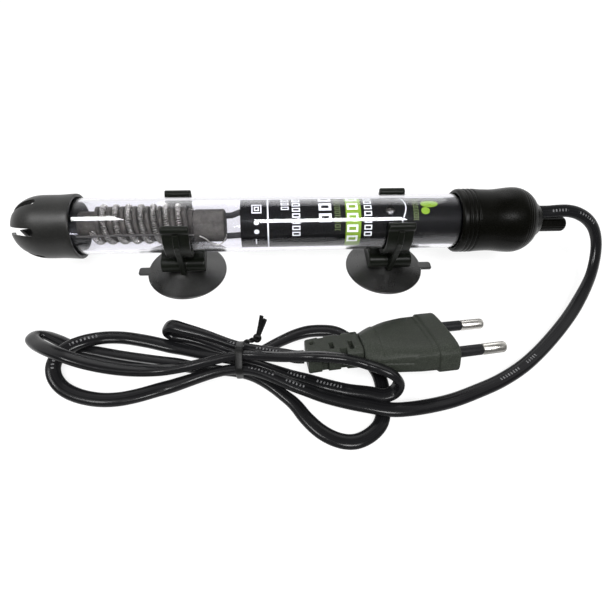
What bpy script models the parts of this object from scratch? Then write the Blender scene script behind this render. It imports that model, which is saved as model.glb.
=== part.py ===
"""Submersible glass aquarium heater lying on two suction-cup clips, with its tied mains cord.

Frame: metres, +Z up, the tube's axis along X.  The origin is under the middle of the
heater, on the surface that the suction cups stand on.  Sizes below are in millimetres,
with x counted from the middle between the two clips; the builders move every piece by
MIDDLE_X, so that the origin is under the middle of the heater's whole length.
"""
import math

import bmesh
import bpy
import numpy as np

MM = 0.001

# ---------------------------------------------------------------- driving sizes (mm)
FIT = 0.3                # gap between pieces that touch
ROUND_COUNT = 36         # sides of the large turned pieces
SMALL_COUNT = 16         # sides of the small turned pieces

TUBE_R = 11.0            # glass tube, outside
TUBE_WALL = 1.3
TUBE_LEFT = -97.0        # tip of the tube's closed end
TUBE_RIGHT = 88.8        # open end, inside the seal cap
TUBE_DOME = 7.0
TUBE_BORE = TUBE_R - TUBE_WALL

CUP_R = 17.0
HUB_R = 5.4
STUD_R, STUD_HEAD_R = 2.6, 3.9
FOOT_LOW = 5.3           # underside of the clip's foot, over the surface
FOOT_X, FOOT_Y, FOOT_H = 18.4, 15.0, 6.5
FOOT_TOP = FOOT_LOW + FOOT_H
FOOT_ROUND = 3.2         # depth of its round front and back
NECK_X, NECK_Y, NECK_H = 8.0, 8.8, 3.2
CLIP_X = 43.6            # distance of each clip from the middle
CLIP_W = 10.2
CLIP_WALL = 1.6
LIP_ANGLE = 59.0         # half of the clip's mouth, degrees from straight up
LIP_R = 1.6
RIB_W = 2.1

AXIS_Z = FOOT_TOP + NECK_H + TUBE_R   # height of the glass tube's axis

GUARD_NOSE = TUBE_LEFT - 10.4         # guard cap, closed end
GUARD_LEN = 26.2
GUARD_DOME = 13.4
GUARD_BLUNT = 2.1        # power of the dome's outline, 2 being an ellipse
GUARD_WALL = 1.2         # at the nose
GUARD_SIDE = 1.0         # round the glass
GUARD_BEAD = 0.35
SLOT_W = 3.0             # nose slots, cut through the axis
SLOT_LEN = 12.5
SLOT_COUNT = 6
SLOT_TURN = -30.0        # degrees from +Y of the first slot's plane through the axis

GASKET_T = 1.5
CAP_RIM = 68.4           # seal cap, open end
CAP_WALL = 1.6
CAP_NOSE = 13.3          # solid part of the cap, past the glass
CAP_SWELL = 0.4          # how far the waist dips and the end swells
CAP_BORE_END = TUBE_RIGHT + GASKET_T + 2 * FIT
CAP_END = CAP_BORE_END + CAP_NOSE     # flat end face round the cord and the knob

COIL_Y, COIL_UP = 0.4, 0.45   # axis of the heating coil, off the tube's axis
HEAD_Y, HEAD_UP = -0.3, -0.3  # axis of the ceramic head, off the tube's axis
COIL_WIRE_R = 1.1
COIL_R = TUBE_BORE - COIL_WIRE_R - 1.8   # wound radius, to the middle of the winding
COIL_TURNS = 7.6
COIL_PITCH = 4.75
COIL_START = -74.625
FORMER_LEAD = 6.4            # former ahead of the first turn
COIL_END = COIL_START + COIL_TURNS * COIL_PITCH
HEAD_LEFT = COIL_END + COIL_WIRE_R + 0.7   # ceramic head block
HEAD_LEN = 12.1
HEAD_RIGHT = HEAD_LEFT + HEAD_LEN
WIRE_AT = TUBE_BORE - 0.7     # radius at which the bare wires run along the glass
WIRE_R = 0.4

BUNG_LEN = 5.1
BUNG_LEFT = TUBE_RIGHT - BUNG_LEN
SLEEVE_R = TUBE_BORE - FIT    # printed sleeve inside the glass
SLEEVE_WALL = 0.4
SLEEVE_LEFT = -18.2
SLEEVE_RIGHT = BUNG_LEFT - FIT
WINDOW_X, WINDOW_R = 40.3, 1.8
WINDOW_ANGLE = 112.0     # degrees from +Y towards +Z
LAMP_R, LAMP_LEN = 1.95, 10.2
LEAD_R = 1.2             # insulated leads between element and switch

SHAFT_R = 1.25
SHAFT_LEFT = BUNG_LEFT - 0.5
CAM_LEN = 3.4
BOARD_DROP = 4.0         # board's top under the tube's axis
BOARD_T = 1.2
BOARD_LEFT = -8.0
BOARD_RIGHT = SHAFT_LEFT - FIT - CAM_LEN - 0.4
BASE_X, BASE_LEN, BASE_H = 46.0, 9.0, 4.0   # thermostat base on the board
STRIP_T = 0.5
CONTACT_X, CONTACT_R = 72.0, 1.5

KNOB_Y, KNOB_DROP = 0.1, 2.6
KNOB_R, KNOB_LEN = 3.1, 13.1
FLUTE_COUNT = 18
FLUTE_DEPTH = 0.22
KNOB_LEFT = CAP_END + FIT
KNOB_RIGHT = KNOB_LEFT + KNOB_LEN
KNOB_Z = AXIS_Z - KNOB_DROP

CORD_Y, CORD_UP = 1.2, 3.0   # where the cord leaves the seal cap
CORD_Z = AXIS_Z + CORD_UP
CORD_R = 1.6
CORE_R, CORE_APART = 0.55, 2.2
GLAND_R = 2.4
GLAND_LEFT = CAP_BORE_END + 1.7

PLUG_FRONT = (55.3, -50.85, 12.65)   # middle of the plug's front face
PLUG_YAW, PLUG_PITCH, PLUG_ROLL = 4.2, 1.5, -24.0
COLLAR_W, COLLAR_T, COLLAR_LEN = 15.1, 5.9, 7.2   # half width, half thickness, length
BODY_LEN = 31.2
PIN_SPREAD_BASE, PIN_SPREAD_TIP = 9.3, 8.75
PIN_R, PIN_LEN, PIN_SLEEVE_LEN, PIN_ROOT = 2.0, 19.0, 10.0, 5.6
# body behind the collar: along, half width, half thickness, share of the rear section
BODY_ROWS = [(-7.7, 14.5, 5.6, 0.0), (-13.0, 14.3, 5.6, 0.0), (-17.0, 13.5, 5.55, 0.1),
             (-21.0, 12.65, 5.5, 0.3), (-25.0, 11.8, 5.35, 0.6), (-27.5, 10.9, 5.15, 0.85),
             (-29.5, 9.5, 4.9, 1.0), (-BODY_LEN, 8.0, 4.6, 1.0)]
# corners of the sections from the edge to the middle, in half widths and half thicknesses
UPPER_FRONT = ((1.0, 0.22), (0.93, 0.45), (0.8, 0.67), (0.6, 0.88), (0.32, 1.0))
UPPER_REAR = ((1.0, 0.1), (0.9, 0.28), (0.7, 0.55), (0.45, 0.83), (0.25, 1.0))
LOWER = ((1.0, 0.35), (0.93, 0.7), (0.55, 1.0))
RELIEF_EDGE = ((1.0, 0.6), (0.93, 0.79), (0.75, 1.0))
RELIEF_W, RELIEF_T = 7.5, 4.2
RELIEF_START = -BODY_LEN - 0.4
RELIEF_END = -50.5
RELIEF_DROP = 0.005      # downward curve of the strain relief, per mm
NOTCH_W, NOTCH_DEEP = 1.5, 1.7
NOTCHES = (-44.7, -38.2)            # notched through at both edges
# pockets in the strain relief's upper face: along, across, half width, depth
POCKETS = ((-48.3, 2.2, 1.2, 1.5), (-41.8, -1.8, 2.2, 1.5), (-35.2, -3.0, 2.6, 1.5))

MIDDLE_X = (GUARD_NOSE + KNOB_RIGHT) / 2   # the origin stands under the heater's middle

# route of the free cord from the seal cap to the tie
LEAD_ROUTE = [
    (CAP_END + FIT, CORD_Y, CORD_Z), (CAP_END + FIT + 4.0, CORD_Y, CORD_Z),
    (113.5, 1.2, 29.4), (117.2, 1.1, 29.4),
    (121.4, 0.6, 28.6), (126.4, -0.5, 26.2), (130.6, -2.1, 22.2), (133.0, -5.7, 16.5),
    (131.0, -14.3, 8.5), (121.0, -27.3, 3.6), (106.3, -41.6, 1.9), (88.7, -55.5, 1.8),
    (76.4, -62.4, 1.8), (66.5, -66.4, 2.0), (56.8, -69.9, 2.6), (47.5, -72.6, 4.2),
    (38.8, -74.3, 5.6), (32.5, -74.5, 6.0), (25.3, -72.8, 5.9), (18.2, -70.6, 5.4),
    (11.0, -67.9, 5.0), (3.6, -64.8, 5.4), (-3.5, -62.5, 6.4), (-8.6, -60.4, 7.8),
    (-12.4, -57.5, 8.3), (-16.1, -56.6, 8.1)]

# route of the tied hank, from the tie round its loops to the plug
HANK_ROUTE = [
    (-16.4, -56.6, 8.1), (-19.5, -56.6, 8.1), (-23.0, -56.8, 8.1), (-31.3, -58.7, 6.6),
    (-37.5, -59.3, 4.2), (-42.6, -59.9, 2.5), (-47.0, -60.7, 1.9), (-55.5, -63.1, 1.8),
    (-61.8, -64.1, 1.8), (-68.3, -63.8, 1.8), (-76.2, -61.5, 1.8), (-81.4, -58.4, 2.2),
    (-84.4, -54.8, 3.4), (-85.3, -51.3, 4.6), (-84.4, -47.2, 5.4), (-81.6, -44.0, 5.7),
    (-76.9, -41.2, 5.4), (-71.1, -38.4, 3.6), (-64.5, -37.5, 2.2), (-54.7, -39.4, 1.8),
    (-44.8, -42.5, 1.8), (-39.2, -44.5, 2.6), (-32.4, -48.0, 4.6), (-23.0, -52.9, 7.0),
    (-18.8, -52.9, 7.0), (-14.5, -52.9, 7.0), (-9.6, -55.8, 5.8), (-3.7, -57.3, 3.6),
    (4.0, -59.4, 2.8), (11.6, -62.4, 3.0), (18.9, -65.7, 4.6), (26.1, -67.9, 6.0),
    (31.0, -69.4, 6.6), (34.6, -68.6, 8.0), (35.5, -67.6, 12.0), (33.0, -66.8, 15.6),
    (28.8, -64.8, 16.5), (25.0, -62.8, 16.2), (21.0, -61.7, 16.9), (16.5, -61.2, 18.0),
    (11.5, -60.6, 18.3), (7.2, -60.1, 18.2), (2.9, -59.3, 17.3), (-0.8, -58.2, 15.8),
    (-4.9, -57.4, 14.3), (-8.7, -56.6, 12.7), (-14.5, -52.9, 10.8), (-18.8, -52.9, 10.8),
    (-23.0, -52.9, 10.8), (-30.4, -55.9, 9.9), (-37.8, -55.5, 7.4), (-47.1, -55.0, 5.4),
    (-56.0, -54.8, 5.6), (-64.7, -54.0, 6.6), (-73.1, -52.8, 8.6), (-80.7, -50.3, 9.7),
    (-88.0, -46.3, 8.6), (-93.4, -42.0, 6.4), (-96.5, -38.1, 4.4), (-96.3, -35.3, 2.8),
    (-93.5, -35.0, 1.9), (-88.9, -37.1, 1.8), (-84.1, -39.8, 1.8), (-79.2, -42.0, 1.8),
    (-72.8, -43.8, 1.8), (-63.0, -46.3, 1.8), (-48.6, -49.3, 1.8), (-39.0, -51.2, 2.1),
    (-31.3, -54.4, 3.3), (-23.0, -55.3, 3.8), (-18.8, -55.3, 3.8), (-14.5, -55.7, 3.6),
    (-11.1, -59.7, 2.6), (-6.9, -61.7, 2.1), (-3.1, -64.1, 1.8), (0.5, -69.0, 1.8),
    (3.9, -74.2, 1.8), (8.4, -79.2, 1.8), (12.8, -82.1, 1.8), (17.0, -83.4, 1.8),
    (20.7, -83.2, 1.8), (25.3, -81.1, 1.8), (28.9, -77.7, 1.8), (30.7, -73.5, 1.8),
    (31.5, -68.7, 1.8), (32.1, -63.0, 1.8), (31.4, -57.0, 1.8), (28.5, -51.1, 1.8),
    (25.3, -45.4, 1.8), (21.8, -40.7, 1.8), (17.5, -37.6, 1.8), (12.0, -36.7, 1.8),
    (5.3, -37.2, 1.8), (-1.4, -39.3, 1.8), (-6.1, -42.4, 2.1), (-10.3, -46.0, 3.2),
    (-14.5, -50.5, 3.8), (-17.0, -50.6, 3.8), (-20.6, -50.3, 3.8), (-24.6, -47.0, 3.6), (-28.8, -43.4, 3.0),
    (-33.6, -40.6, 2.4), (-39.1, -38.7, 2.1), (-44.1, -37.6, 2.4), (-46.8, -36.7, 4.2),
    (-46.6, -36.9, 6.8), (-44.0, -38.1, 9.2), (-38.9, -40.3, 9.8), (-32.5, -42.8, 9.6),
    (-26.6, -44.1, 8.9), (-23.6, -46.6, 8.5), (-20.6, -48.9, 8.2), (-17.0, -49.1, 8.2),
    (-14.0, -49.1, 8.2),
    (-9.0, -49.8, 8.2), (-4.4, -52.0, 8.7)]

# the six passes of the hank through the tie, as (y, z), outer five in order
TIE_PASSES = [(-49.1, 8.2), (-52.9, 10.8), (-56.6, 8.1), (-55.3, 3.8), (-50.5, 3.8)]
TIE_X = -18.8
TIE_HALF_W, TIE_HALF_T = 1.2, 0.5    # flat twist tie
TIE_SLACK = 0.35
KNOT = (-12.6, -45.3, 9.4)


# ---------------------------------------------------------------- helpers
def make_material(name, rgb, rough, metal=0.0, alpha=1.0, transmission=0.0):
    """One Principled material."""
    mat = bpy.data.materials.new(name)
    mat.use_nodes = True
    shader = mat.node_tree.nodes["Principled BSDF"]
    shader.inputs["Base Color"].default_value = (*rgb, 1.0)
    shader.inputs["Roughness"].default_value = rough
    shader.inputs["Metallic"].default_value = metal
    shader.inputs["Alpha"].default_value = alpha
    shader.inputs["Transmission Weight"].default_value = transmission
    return mat


def add_mesh(name, verts, faces, rgb, rough=0.5, metal=0.0, origin=(0, 0, 0), glass=0.0):
    """A mesh object from millimetre points; the origin is set to a millimetre point."""
    offset = np.asarray(origin, float)
    shift = np.array([MIDDLE_X, 0.0, 0.0])
    mesh = bpy.data.meshes.new(name)
    points = [tuple((np.asarray(v, float) - offset) * MM) for v in verts]
    mesh.from_pydata(points, [], [tuple(f) for f in faces])
    mesh.update()
    obj = bpy.data.objects.new(name, mesh)
    obj.location = tuple((offset - shift) * MM)
    bpy.context.scene.collection.objects.link(obj)
    mesh.materials.append(make_material(name + "_material", rgb, rough, metal, 1.0, glass))
    work = bmesh.new()
    work.from_mesh(mesh)
    bmesh.ops.recalc_face_normals(work, faces=work.faces)
    work.to_mesh(mesh)
    work.free()
    return obj


def turned(profile, steps, axis_y=0.0, axis_z=AXIS_Z):
    """Points and faces of a closed profile of (x, radius) turned about an X axis.

    A radius of zero makes a pole.  The profile is closed from its last point to its
    first one unless both are poles.
    """
    verts, rings = [], []
    for x, r in profile:
        if r <= 0:
            rings.append([len(verts)])
            verts.append((x, axis_y, axis_z))
            continue
        ring = []
        for k in range(steps):
            t = 2 * math.pi * k / steps
            ring.append(len(verts))
            verts.append((x, axis_y + r * math.cos(t), axis_z + r * math.sin(t)))
        rings.append(ring)
    faces = []
    pairs = list(zip(rings[:-1], rings[1:]))
    if not (len(rings[0]) == 1 and len(rings[-1]) == 1):
        pairs.append((rings[-1], rings[0]))
    for a, b in pairs:
        for k in range(steps):
            k2 = (k + 1) % steps
            if len(a) == 1 and len(b) == 1:
                continue
            if len(a) == 1:
                faces.append((a[0], b[k], b[k2]))
            elif len(b) == 1:
                faces.append((a[k], b[0], a[k2]))
            else:
                faces.append((a[k], b[k], b[k2], a[k2]))
    return verts, faces


def turned_z(profile, steps, centre_x):
    """Like turned(), for a profile of (z, radius) about a vertical axis at centre_x."""
    verts, faces = turned([(z, r) for z, r in profile], steps, 0.0, 0.0)
    return [(centre_x + v[1], v[2], v[0]) for v in verts], faces


def dome(tip, base, radius, steps, power=2.0):
    """Profile points from beside the tip to the base of a round end.

    They lie on |u|^power + |v|^power = 1, with u along the axis and v the radius.
    """
    out = []
    for k in range(1, steps + 1):
        t = math.pi / 2 * k / steps
        along = max(0.0, math.cos(t)) ** (2 / power)
        out.append((base + (tip - base) * along, radius * math.sin(t) ** (2 / power)))
    return out


def circle(radius, count):
    """Points of a circle about (0, 0)."""
    turn = [2 * math.pi * k / count for k in range(count)]
    return [(radius * math.cos(t), radius * math.sin(t)) for t in turn]


def lofted(sections):
    """Points and faces of equal-count sections joined in order, with flat ends."""
    count = len(sections[0])
    verts = [tuple(p) for s in sections for p in s]
    faces = [tuple(range(count))[::-1]]
    for i in range(len(sections) - 1):
        for k in range(count):
            k2 = (k + 1) % count
            a, b = i * count, (i + 1) * count
            faces.append((a + k, a + k2, b + k2, b + k))
    last = (len(sections) - 1) * count
    faces.append(tuple(range(last, last + count)))
    return verts, faces


def box(x0, x1, y0, y1, z0, z1):
    """Points and faces of a box."""
    lower = [(x0, y0, z0), (x1, y0, z0), (x1, y1, z0), (x0, y1, z0)]
    upper = [(x, y, z1) for x, y, z in lower]
    return lofted([lower, upper])


def prism_x(outline, x0, x1):
    """Points and faces of a (y, z) outline run along X."""
    return lofted([[(x, y, z) for y, z in outline] for x in (x0, x1)])


def boolean(obj, other, kind):
    """Live exact boolean of obj with another mesh object, which is hidden."""
    mod = obj.modifiers.new(kind.lower(), "BOOLEAN")
    mod.operation = kind
    mod.solver = "EXACT"
    mod.object = other
    other.hide_render = True
    other.display_type = "WIRE"


def cutter(name, shape):
    """A hidden mesh that a boolean uses."""
    return add_mesh(name, shape[0], shape[1], (0.5, 0.5, 0.5))


def smooth_route(points, step=0.4):
    """Points every step mm on a smooth curve through the route's own points."""
    p = np.asarray(points, float)
    t = np.concatenate([[0.0], np.cumsum(np.linalg.norm(np.diff(p, axis=0), axis=1) ** 0.5)])
    slope = np.zeros_like(p)
    for i in range(len(p)):
        if i in (0, len(p) - 1):
            j = min(i, len(p) - 2)
            slope[i] = (p[j + 1] - p[j]) / (t[j + 1] - t[j])
        else:
            before, after = t[i] - t[i - 1], t[i + 1] - t[i]
            left, right = (p[i] - p[i - 1]) / before, (p[i + 1] - p[i]) / after
            slope[i] = (left * after + right * before) / (before + after)
    out = []
    for i in range(len(p) - 1):
        h = t[i + 1] - t[i]
        count = max(4, int(np.linalg.norm(p[i + 1] - p[i]) / step))
        for u in np.arange(count) / count:
            a, b = 2 * u ** 3 - 3 * u ** 2 + 1, u ** 3 - 2 * u ** 2 + u
            c, d = -2 * u ** 3 + 3 * u ** 2, u ** 3 - u ** 2
            out.append(a * p[i] + b * h * slope[i] + c * p[i + 1] + d * h * slope[i + 1])
    out.append(p[-1])
    return np.array(out)


def thin_out(line, straight=5.0, per_turn=12.0):
    """Fewer points along a smooth line: close in bends, wide on straight runs."""
    ds = np.linalg.norm(np.diff(line, axis=0), axis=1)
    s = np.concatenate([[0.0], np.cumsum(ds)])
    even = np.arange(0, s[-1], 0.5)
    q = np.stack([np.interp(even, s, line[:, k]) for k in range(3)], -1)
    first = np.gradient(q, 0.5, axis=0)
    curve = np.linalg.norm(np.gradient(first, 0.5, axis=0), axis=1)
    curve = np.convolve(curve, np.ones(5) / 5, mode="same")
    density = 1 / straight + curve * per_turn / (2 * math.pi)
    total = np.concatenate([[0.0], np.cumsum((density[1:] + density[:-1]) * 0.25)])
    marks = np.linspace(0, total[-1], int(math.ceil(total[-1])) + 1)
    where = np.interp(marks, total, even)
    where[-1] = s[-1]
    return np.stack([np.interp(where, s, line[:, k]) for k in range(3)], -1)


def add_tube(name, points, radius, rgb, rough=0.5, metal=0.0, res=1):
    """A round tube with closed ends along millimetre points."""
    data = bpy.data.curves.new(name, "CURVE")
    data.dimensions = "3D"
    data.bevel_depth = radius * MM
    data.bevel_resolution = res
    data.render_resolution_u = 0
    data.use_fill_caps = True
    spline = data.splines.new("POLY")
    spline.points.add(len(points) - 1)
    for slot, p in zip(spline.points, points):
        slot.co = ((p[0] - MIDDLE_X) * MM, p[1] * MM, p[2] * MM, 1.0)
    obj = bpy.data.objects.new(name, data)
    bpy.context.scene.collection.objects.link(obj)
    data.materials.append(make_material(name + "_material", rgb, rough, metal))
    return obj


def least_gap(line_a, line_b, radius, same, skip=10.0):
    """Least surface gap in mm between two tubes' lines, or within one line."""
    def dense(line):
        s = np.concatenate([[0.0], np.cumsum(np.linalg.norm(np.diff(line, axis=0), axis=1))])
        even = np.arange(0, s[-1], 0.4)
        return even, np.stack([np.interp(even, s, line[:, k]) for k in range(3)], -1)

    sa, a = dense(np.asarray(line_a))
    sb, b = dense(np.asarray(line_b))
    best = 1e9
    for i in range(len(a)):
        d = np.linalg.norm(b - a[i], axis=1)
        if same:
            d = d[np.abs(sb - sa[i]) > skip]
        if len(d):
            best = min(best, d.min())
    return best - 2 * radius


def clean_scene():
    """Start from an empty scene."""
    for obj in list(bpy.data.objects):
        bpy.data.objects.remove(obj, do_unlink=True)


BLACK = (0.012, 0.012, 0.012)
RUBBER = (0.02, 0.02, 0.021)
STEEL = (0.62, 0.63, 0.64)
BRASS = (0.75, 0.56, 0.26)


# ---------------------------------------------------------------- glass and caps
def build_tube():
    """Glass tube: closed, domed at the left, open at the right."""
    base = TUBE_LEFT + TUBE_DOME
    profile = [(TUBE_LEFT, 0)] + dome(TUBE_LEFT, base, TUBE_R, 6)
    profile += [(TUBE_RIGHT, TUBE_R), (TUBE_RIGHT, TUBE_BORE)]
    profile += dome(TUBE_LEFT + TUBE_WALL, base, TUBE_BORE, 6)[::-1]
    profile += [(TUBE_LEFT + TUBE_WALL, 0)]
    verts, faces = turned(profile, ROUND_COUNT)
    add_mesh("glass_tube", verts, faces, (0.93, 0.95, 0.96), 0.03, glass=0.9)


def build_guard_cap():
    """Black nose guard pushed over the closed end, with slots through its nose."""
    bore = TUBE_R + FIT
    side = bore + GUARD_SIDE
    bead = side + GUARD_BEAD
    rim = GUARD_NOSE + GUARD_LEN
    base = GUARD_NOSE + GUARD_DOME
    profile = [(GUARD_NOSE, 0)] + dome(GUARD_NOSE, base, side, 9, GUARD_BLUNT)
    profile += [(rim - 6.0, side), (rim - 3.0, side + 0.1), (rim - 0.6, bead),
                (rim, bead - 0.45), (rim, bore)]
    profile += dome(GUARD_NOSE + GUARD_WALL, base + 1.0, bore, 7, GUARD_BLUNT)[::-1]
    profile += [(GUARD_NOSE + GUARD_WALL, 0)]
    verts, faces = turned(profile, ROUND_COUNT)
    cap = add_mesh("guard_cap", verts, faces, BLACK, 0.55)
    half, far = SLOT_W / 2, side + 4
    for k in range(SLOT_COUNT // 2):
        t = math.radians(SLOT_TURN + 360.0 * k / SLOT_COUNT)
        shape = box(GUARD_NOSE - 2, GUARD_NOSE + SLOT_LEN, -far, far, -half, half)
        c, s = math.cos(t), math.sin(t)
        verts = [(x, y * c - z * s, AXIS_Z + y * s + z * c) for x, y, z in shape[0]]
        boolean(cap, cutter("guard_slot_%d" % k, (verts, shape[1])), "DIFFERENCE")


def build_seal_cap():
    """Black rubber seal cap with ring grooves, a waist, a dome and a flat end."""
    bore = TUBE_R + FIT
    r = bore + CAP_WALL
    waist_x, bulge_x = CAP_RIM + 13.9, CAP_BORE_END + 2.0
    step_x = CAP_END - 4.0
    outer = [(CAP_RIM, r - 0.7), (CAP_RIM + 0.8, r - 0.15), (CAP_RIM + 1.8, r)]
    for groove in (CAP_RIM + 2.6, CAP_RIM + 4.3, CAP_RIM + 6.0):
        outer += [(groove, r), (groove + 0.25, r - 0.3), (groove + 0.6, r - 0.3),
                  (groove + 0.85, r)]
    for k in range(5):
        share = k / 4
        lift = -math.cos(math.pi * share) * CAP_SWELL
        outer.append((waist_x + (bulge_x - waist_x) * share, r + lift))
    swell = r + CAP_SWELL
    outer += [p for p in dome(bulge_x + 11.0, bulge_x, swell, 10)[::-1][1:] if p[0] < step_x]
    outer += [(step_x, 9.9), (step_x + 0.8, 8.4), (CAP_END, 5.9)]
    profile = [(CAP_BORE_END, 0), (CAP_BORE_END, bore), (CAP_RIM, bore)]
    profile += outer + [(CAP_END, 0)]
    verts, faces = turned(profile, ROUND_COUNT)
    cap = add_mesh("seal_cap", verts, faces, BLACK, 0.42)
    x0, x1 = CAP_BORE_END - 2, CAP_END + 2
    seat = CAP_BORE_END + GASKET_T + FIT + 0.5
    bores = [("cap_cord_bore", x1, GLAND_R + FIT, CORD_Y, CORD_Z),
             ("cap_shaft_bore", x1, SHAFT_R + FIT, KNOB_Y, KNOB_Z),
             ("cap_ring_seat", seat, SHAFT_R + FIT + 0.95, KNOB_Y, KNOB_Z)]
    for name, end, radius, y, z in bores:
        shape = turned([(x0, 0), (x0, radius), (end, radius), (end, 0)], SMALL_COUNT, y, z)
        boolean(cap, cutter(name, shape), "DIFFERENCE")


def build_end_seals():
    """Gasket on the glass's open end, the bung inside it, gland and shaft ring."""
    low, high = TUBE_RIGHT + FIT, CAP_BORE_END - FIT
    verts, faces = turned([(low, TUBE_BORE - FIT), (low, TUBE_R), (high, TUBE_R),
                           (high, TUBE_BORE - FIT)], ROUND_COUNT)
    add_mesh("tube_gasket", verts, faces, RUBBER, 0.6)

    bung_r = TUBE_BORE - FIT
    verts, faces = turned([(BUNG_LEFT, 0), (BUNG_LEFT, bung_r), (TUBE_RIGHT, bung_r),
                           (TUBE_RIGHT, 0)], ROUND_COUNT)
    bung = add_mesh("tube_stopper", verts, faces, (0.05, 0.05, 0.05), 0.6)
    holes = [("bung_shaft_hole", KNOB_Y, KNOB_Z, SHAFT_R + FIT)]
    for k, side in enumerate((-1, 1)):
        holes.append(("bung_core_hole_%d" % (k + 1), CORD_Y + side * CORE_APART / 2, CORD_Z,
                      CORE_R + FIT + 0.05))
    for name, y, z, r in holes:
        x0, x1 = BUNG_LEFT - 2, TUBE_RIGHT + 2
        shape = turned([(x0, 0), (x0, r), (x1, r), (x1, 0)], SMALL_COUNT, y, z)
        boolean(bung, cutter(name, shape), "DIFFERENCE")

    verts, faces = turned([(GLAND_LEFT, 0), (GLAND_LEFT, GLAND_R), (CAP_END, GLAND_R),
                           (CAP_END, 0)], SMALL_COUNT, CORD_Y, CORD_Z)
    add_mesh("cord_gland", verts, faces, RUBBER, 0.6)

    inner = SHAFT_R + FIT
    low = CAP_BORE_END + 0.5
    verts, faces = turned([(low, inner), (low, inner + 0.65), (low + GASKET_T, inner + 0.65),
                           (low + GASKET_T, inner)], SMALL_COUNT, KNOB_Y, KNOB_Z)
    add_mesh("shaft_ring", verts, faces, (0.25, 0.08, 0.05), 0.6)


def build_knob():
    """Fluted temperature knob with its shaft and inner cam."""
    rows = []
    spec = [(KNOB_LEFT, KNOB_R - 0.35), (KNOB_LEFT + 0.5, KNOB_R), (KNOB_RIGHT - 2.0, KNOB_R),
            (KNOB_RIGHT - 0.8, KNOB_R - 0.35), (KNOB_RIGHT, KNOB_R - 1.2)]
    for x, r in spec:
        ring = []
        for k in range(FLUTE_COUNT * 2):
            t = math.pi * k / FLUTE_COUNT
            rr = r - (FLUTE_DEPTH if k % 2 else 0.0)
            ring.append((x, KNOB_Y + rr * math.cos(t), KNOB_Z + rr * math.sin(t)))
        rows.append(ring)
    verts, faces = lofted(rows)
    origin = (KNOB_LEFT, KNOB_Y, KNOB_Z)
    knob = add_mesh("temperature_knob", verts, faces, BLACK, 0.5, origin=origin)
    r = SHAFT_R + FIT
    shaft_end = KNOB_LEFT + 5.2
    x0, x1 = KNOB_LEFT - 5, shaft_end + FIT
    bore = turned([(x0, 0), (x0, r), (x1, r), (x1, 0)], SMALL_COUNT, KNOB_Y, KNOB_Z)
    boolean(knob, cutter("knob_bore", bore), "DIFFERENCE")

    verts, faces = turned([(SHAFT_LEFT, 0), (SHAFT_LEFT, SHAFT_R), (shaft_end, SHAFT_R),
                           (shaft_end, 0)], SMALL_COUNT, KNOB_Y, KNOB_Z)
    add_mesh("knob_shaft", verts, faces, STEEL, 0.3, 1.0, origin=origin)

    right = SHAFT_LEFT - FIT
    left = right - CAM_LEN
    verts, faces = turned([(left, 0), (left, SHAFT_R + 0.35), (left + 0.6, SHAFT_R + 0.95),
                           (right, SHAFT_R + 0.95), (right, 0)], SMALL_COUNT, KNOB_Y, KNOB_Z)
    # a flat on one side makes the cam
    flat = KNOB_Z + SHAFT_R + 0.35
    verts = [(x, y, min(z, flat)) for x, y, z in verts]
    add_mesh("adjust_cam", verts, faces, BRASS, 0.35, 1.0, origin=origin)


# ---------------------------------------------------------------- heating element
def round_axis(x, radius, angle):
    """A point round the tube's axis: angle in degrees from +Y towards +Z."""
    t = math.radians(angle)
    return (x, radius * math.cos(t), AXIS_Z + radius * math.sin(t))


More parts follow.
